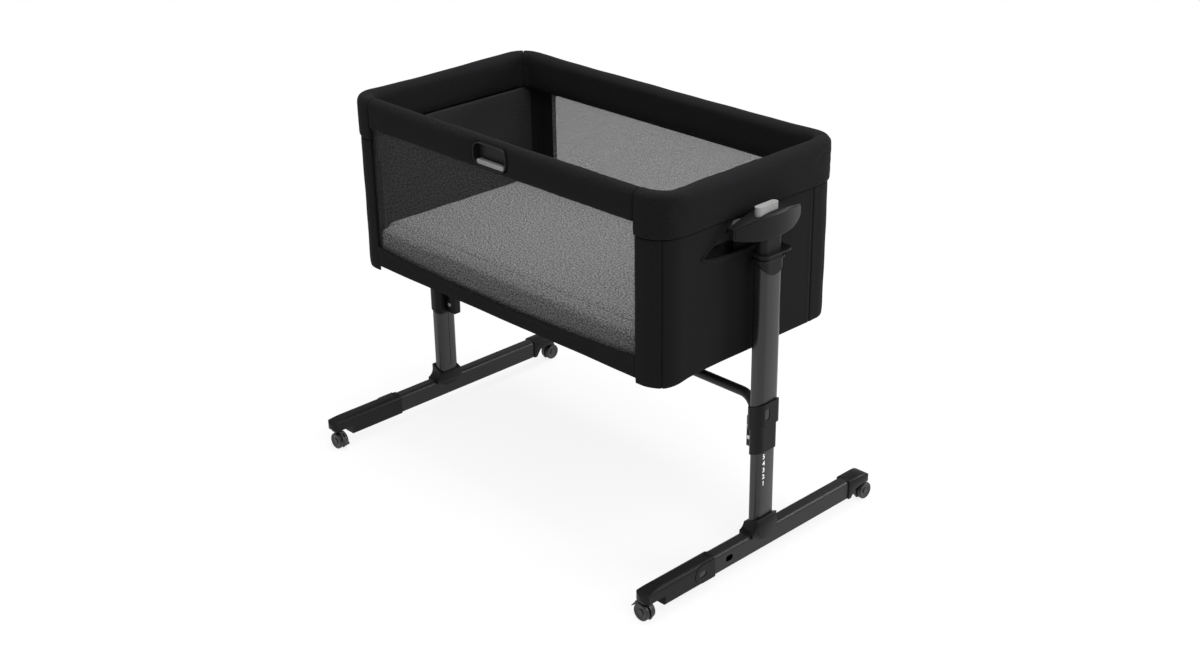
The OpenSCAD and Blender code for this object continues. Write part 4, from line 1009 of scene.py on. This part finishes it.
# Side outlines in y and z, in millimetres, that a cap and a saddle are moulded to
CAP_OUTLINE = ((214, 18), (214, 70), (250, 66.4), (272, 66), (286, 65), (297, 63.4), (305, 61.4), (311, 58.8),
               (316, 54), (319, 48), (320.2, 42), (320.2, 18))
SADDLE_OUTLINE = ((-40, 58), (-40, 66.4), (-37, 69.4), (-33, 75), (-30, 84), (-29.4, 100), (29.4, 100), (29.4, 64),
                  (27, 57), (20, 50.6), (10, 46.8), (0, 45.6), (-10, 46.8), (-20, 50.6), (-27, 56))


class CRIB_OT_mouldings(bpy.types.Operator):
    """Remakes the rear caps and the saddles with the rounder outlines of moulded parts"""
    bl_idname = "crib.mouldings"
    bl_label = "Mould Caps and Saddles"

    def execute(self, context):
        for word, side in (("right", 1), ("left", -1)):
            for part, outline in (("rear_cap", CAP_OUTLINE), ("saddle", SADDLE_OUTLINE)):
                node = part + "_" + word
                obj = bpy.data.objects.new(node + "_moulding", NODES[node].data.copy())
                context.scene.collection.objects.link(obj)
                outward(obj, weld=mm(0.002))
                shape = prism_x("outline", [(mm(y), mm(z)) for y, z in outline], side * mm(440), side * mm(490))
                combine(obj, shape, "INTERSECT")
                modify(obj, "BEVEL", width=mm(0.9), segments=2, limit_method="ANGLE", angle_limit=math.radians(50))
                bpy.ops.object.shade_smooth_by_angle(angle=math.radians(32))
                dress(obj, "black_plastic", "foot_" + word, [node])
        return {"FINISHED"}


class CRIB_OT_trim(bpy.types.Operator):
    """Adds bindings, seams, stitches and the toothed guide lines"""
    bl_idname = "crib.trim"
    bl_label = "Add Trim"

    def execute(self, context):
        s = context.scene.crib_sizes
        hx = WALL[1].x
        for side, word in ((1, "right"), (-1, "left")):
            edge, outer = (rounded([(side * (hx - mm(0.6)), y, min(z, RIM[0].z)) for y, z in slot_edge(out)])
                           for out in (0.0, mm(6)))
            down = Vector((0, 0, -1))
            across = [(b - a).normalized() if (b - a).length > 1e-6 else down for a, b in zip(edge, outer)]
            outwards = [Vector((side, 0, 0))] * len(edge)
            tape("slot_binding_" + word, edge, outwards, across, width=mm(5), thick=mm(1.3))
            row = [p + a * mm(6.6) + out * mm(0.25) for p, a, out in zip(edge, across, outwards)]
            stitch_row("slot_stitches_" + word, row, outwards)
            levels = np.linspace(WALL[0].z + mm(10), WALL[1].z - mm(12), 60)
            seam = [(side * (hx - mm(0.3)), s.seam_back - mm(6), z) for z in levels]
            stitch_row("end_seam_stitches_" + word, seam, [(side, 0, 0)] * len(seam))
            self.guide_teeth(side, word)
        self.window_binding(s)
        self.hem_binding()
        return {"FINISHED"}

    def guide_teeth(self, side, word):
        """A line of small teeth on the net's edge"""
        lo, hi = FRONT_NET
        pitch = mm(4.4)
        tooth = block("guide_teeth_" + word, (side * (hi.x - mm(1.8)), lo.y - mm(0.9), lo.z + mm(24)),
                      (mm(3.6), mm(1.6), mm(2.4)), round_by=mm(0.5), segments=1)
        modify(tooth, "ARRAY", use_relative_offset=False, use_constant_offset=True,
               constant_offset_displace=(0, 0, pitch), count=int((hi.z - lo.z - mm(32)) / pitch))
        paint(tooth, "black_plastic")
        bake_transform(tooth)

    def window_binding(self, s):
        y = BACK[1].y - mm(0.8)
        w, lo, hi, r = s.window_half, s.window_low, s.window_high, WINDOW_CORNER
        pts, away = [], []
        for cx, cz, a0 in ((w - r, hi - r, 0), (-w + r, hi - r, 90), (-w + r, lo + r, 180), (w - r, lo + r, 270)):
            for i in range(7):
                a = math.radians(a0 + 15 * i)
                away.append(Vector((math.cos(a), 0, math.sin(a))))
                pts.append(Vector((cx, y, cz)) + r * away[-1])
        pts.append(pts[0])
        away.append(away[0])
        n = len(pts)
        tape("window_binding_outer", pts, [(0, 1, 0)] * n, away, width=mm(5), thick=mm(1.1))
        inner = [p + Vector((0, mm(0.2) - s.fabric, 0)) for p in pts]
        tape("window_binding_inner", inner, [(0, -1, 0)] * n, away, width=mm(5), thick=mm(1))
        row = [p + a * mm(6.6) + Vector((0, mm(0.2), 0)) for p, a in zip(pts, away)]
        stitch_row("window_stitches", row, [(0, 1, 0)] * n)

    def hem_binding(self):
        lo, hi = HEM
        n = 90
        pts = [(x, lo.y + mm(0.9), hem_edge(x) + mm(0.6)) for x in np.linspace(lo.x + mm(1), hi.x - mm(1), n)]
        tape("hem_binding", pts, [(0, -1, 0)] * n, [(0, 0, -1)] * n, width=mm(6), thick=mm(1.1))
        stitch_row("hem_stitches", [(x, y - mm(0.2), z - mm(7.6)) for x, y, z in pts], [(0, -1, 0)] * n)


class CRIB_OT_digits(bpy.types.Operator):
    """Prints the height scale, 5 to 1, on the lower tubes"""
    bl_idname = "crib.digits"
    bl_label = "Print Height Digits"

    def execute(self, context):
        t, bsdf = start_material("white_print")
        speckle = add_node(t, "ShaderNodeTexNoise", {"Scale": 900}).outputs[0]
        feed(bsdf, {"Base Color": shades(t, speckle, (1, 1, 1), 0.62, 0.8, 0.3, 0.7), "Roughness": 0.6})
        top, pitch = 222, 14
        for side, word in ((1, "right"), (-1, "left")):
            for i, digit in enumerate("54321"):
                bpy.ops.object.text_add(location=(0, 0, 0))
                obj = context.object
                obj.name = "height_digit_%s_%s" % (digit, word)
                set_values(obj.data, dict(body=digit, size=mm(13), align_x="CENTER", align_y="CENTER",
                                          extrude=mm(0.05), offset=mm(0.35)))
                only(obj)
                bpy.ops.object.convert(target="MESH")
                turn = Matrix.Rotation(side * math.pi / 2, 4, "Z") @ Matrix.Rotation(math.pi / 2, 4, "X")
                place = Matrix.Translation((side * (LOWER[1].x + mm(0.06)), -mm(10), mm(top - pitch * i)))
                obj.data.transform(place @ turn)
                dress(obj, "white_print", "foot_" + word)
        return {"FINISHED"}


# Each soft light's name, place and size in metres, and watts. All of them face LIT.
LIGHTS = (("key", (2.6, -1.2, 3.2), 2.0, 80), ("fill", (-2.4, -3.0, 2.2), 2.6, 20),
          ("edge", (2.4, 2.8, 1.6), 1.3, 80), ("top", (0, 0.2, 3.4), 1.6, 95))
LIT = Vector((0, 0, 0.45))


class CRIB_OT_stage(bpy.types.Operator):
    """Builds the floor, the soft lights and the camera at the photo's angle"""
    bl_idname = "crib.stage"
    bl_label = "Build Stage"

    def execute(self, context):
        scene = context.scene
        bpy.ops.mesh.primitive_plane_add(size=16, location=(0, 0, 0))
        floor = context.object
        floor.name = "stage_floor"
        self.floor_paint("floor_paint")
        paint(floor, "floor_paint")
        for name, place, size, watts in LIGHTS:
            lamp = bpy.data.lights.new(name, "AREA")
            lamp.size = size
            lamp.energy = watts
            light = bpy.data.objects.new(name, lamp)
            light.location = place
            light.rotation_euler = (LIT - Vector(place)).to_track_quat("-Z", "Y").to_euler()
            scene.collection.objects.link(light)
        self.camera(scene, scene.crib_view)
        self.world(scene)
        scene.view_settings.view_transform = "Standard"
        return {"FINISHED"}

    def camera(self, scene, v):
        """The camera looks along -back, and is rolled about that line"""
        back = Vector((math.sin(v.azimuth) * math.cos(v.elevation), -math.cos(v.azimuth) * math.cos(v.elevation),
                       math.sin(v.elevation)))
        right = (-back).cross(Vector((0, 0, 1))).normalized()
        up = right.cross(-back)
        right, up = (math.cos(v.roll) * right + math.sin(v.roll) * up,
                     math.cos(v.roll) * up - math.sin(v.roll) * right)
        cam = bpy.data.cameras.new("camera")
        set_values(cam, dict(lens=v.lens, sensor_width=36, clip_end=60))
        obj = bpy.data.objects.new("camera", cam)
        scene.collection.objects.link(obj)
        m = Matrix((right, up, back)).transposed().to_4x4()
        m.translation = Vector(v.target) + back * v.distance
        obj.matrix_world = m
        scene.camera = obj

    def world(self, scene):
        """White to the camera, and dimmer as a light on the crib"""
        world = bpy.data.worlds.new("studio")
        world.use_nodes = True
        t = world.node_tree
        path = add_node(t, "ShaderNodeLightPath").outputs
        seen = maths(t, "MAXIMUM", path["Is Camera Ray"], path["Is Transmission Ray"])
        strength = maths(t, "ADD", maths(t, "MULTIPLY", seen, 0.6), 0.4)
        feed(t.nodes["Background"], {"Color": (1, 1, 1, 1), "Strength": strength})
        scene.world = world

    def floor_paint(self, name):
        """Matt paint that takes the shadows, under a glow that is full beyond 1.6 m and hides the horizon"""
        t, bsdf = start_material(name)
        feed(bsdf, {"Base Color": (0.86, 0.86, 0.86, 1), "Roughness": 0.9})
        path = add_node(t, "ShaderNodeLightPath").outputs
        seen = maths(t, "MAXIMUM", path["Is Camera Ray"],
                     maths(t, "MAXIMUM", path["Is Glossy Ray"], path["Is Transmission Ray"]))
        far = add_node(t, "ShaderNodeVectorMath", {0: object_coords(t)}, operation="LENGTH").outputs["Value"]
        spread = add_node(t, "ShaderNodeMapRange",
                          {"Value": far, "From Min": 0.7, "From Max": 1.6, "To Min": 0.84, "To Max": 1.0})
        glow = add_node(t, "ShaderNodeEmission").outputs[0]
        share = maths(t, "MULTIPLY", seen, spread.outputs["Result"])
        mix = add_node(t, "ShaderNodeMixShader", {0: share, 1: bsdf.outputs[0], 2: glow})
        feed(t.nodes["Material Output"], {"Surface": mix.outputs[0]})


class CRIB_PT_panel(bpy.types.Panel):
    """Lists the crib's sizes, colours and build steps"""
    bl_idname = "CRIB_PT_panel"
    bl_label = "Bedside Crib"
    bl_space_type = "VIEW_3D"
    bl_region_type = "UI"
    bl_category = "Crib"

    def draw(self, context):
        for group in (context.scene.crib_sizes, context.scene.crib_colours, context.scene.crib_view):
            box = self.layout.box()
            for prop in group.bl_rna.properties:
                if not prop.is_readonly and prop.identifier != "name":
                    box.prop(group, prop.identifier)
        for step in STEPS:
            self.layout.operator(step.bl_idname)


STEPS = (CRIB_OT_finishes, CRIB_OT_rim, CRIB_OT_rail, CRIB_OT_walls, CRIB_OT_nets, CRIB_OT_linings,
         CRIB_OT_mattress, CRIB_OT_mouldings, CRIB_OT_trim, CRIB_OT_digits, CRIB_OT_stage)
CLASSES = (CribSizes, CribColours, CribView) + STEPS + (CRIB_PT_panel,)


def register():
    for c in CLASSES:
        bpy.utils.register_class(c)
    bpy.types.Scene.crib_sizes = PointerProperty(type=CribSizes)
    bpy.types.Scene.crib_colours = PointerProperty(type=CribColours)
    bpy.types.Scene.crib_view = PointerProperty(type=CribView)


def unregister():
    del bpy.types.Scene.crib_view
    del bpy.types.Scene.crib_colours
    del bpy.types.Scene.crib_sizes
    for c in reversed(CLASSES):
        bpy.utils.unregister_class(c)


def main():
    register()
    for step in STEPS:
        group, name = step.bl_idname.split(".")
        getattr(getattr(bpy.ops, group), name)()


if __name__ == "__main__":
    main()
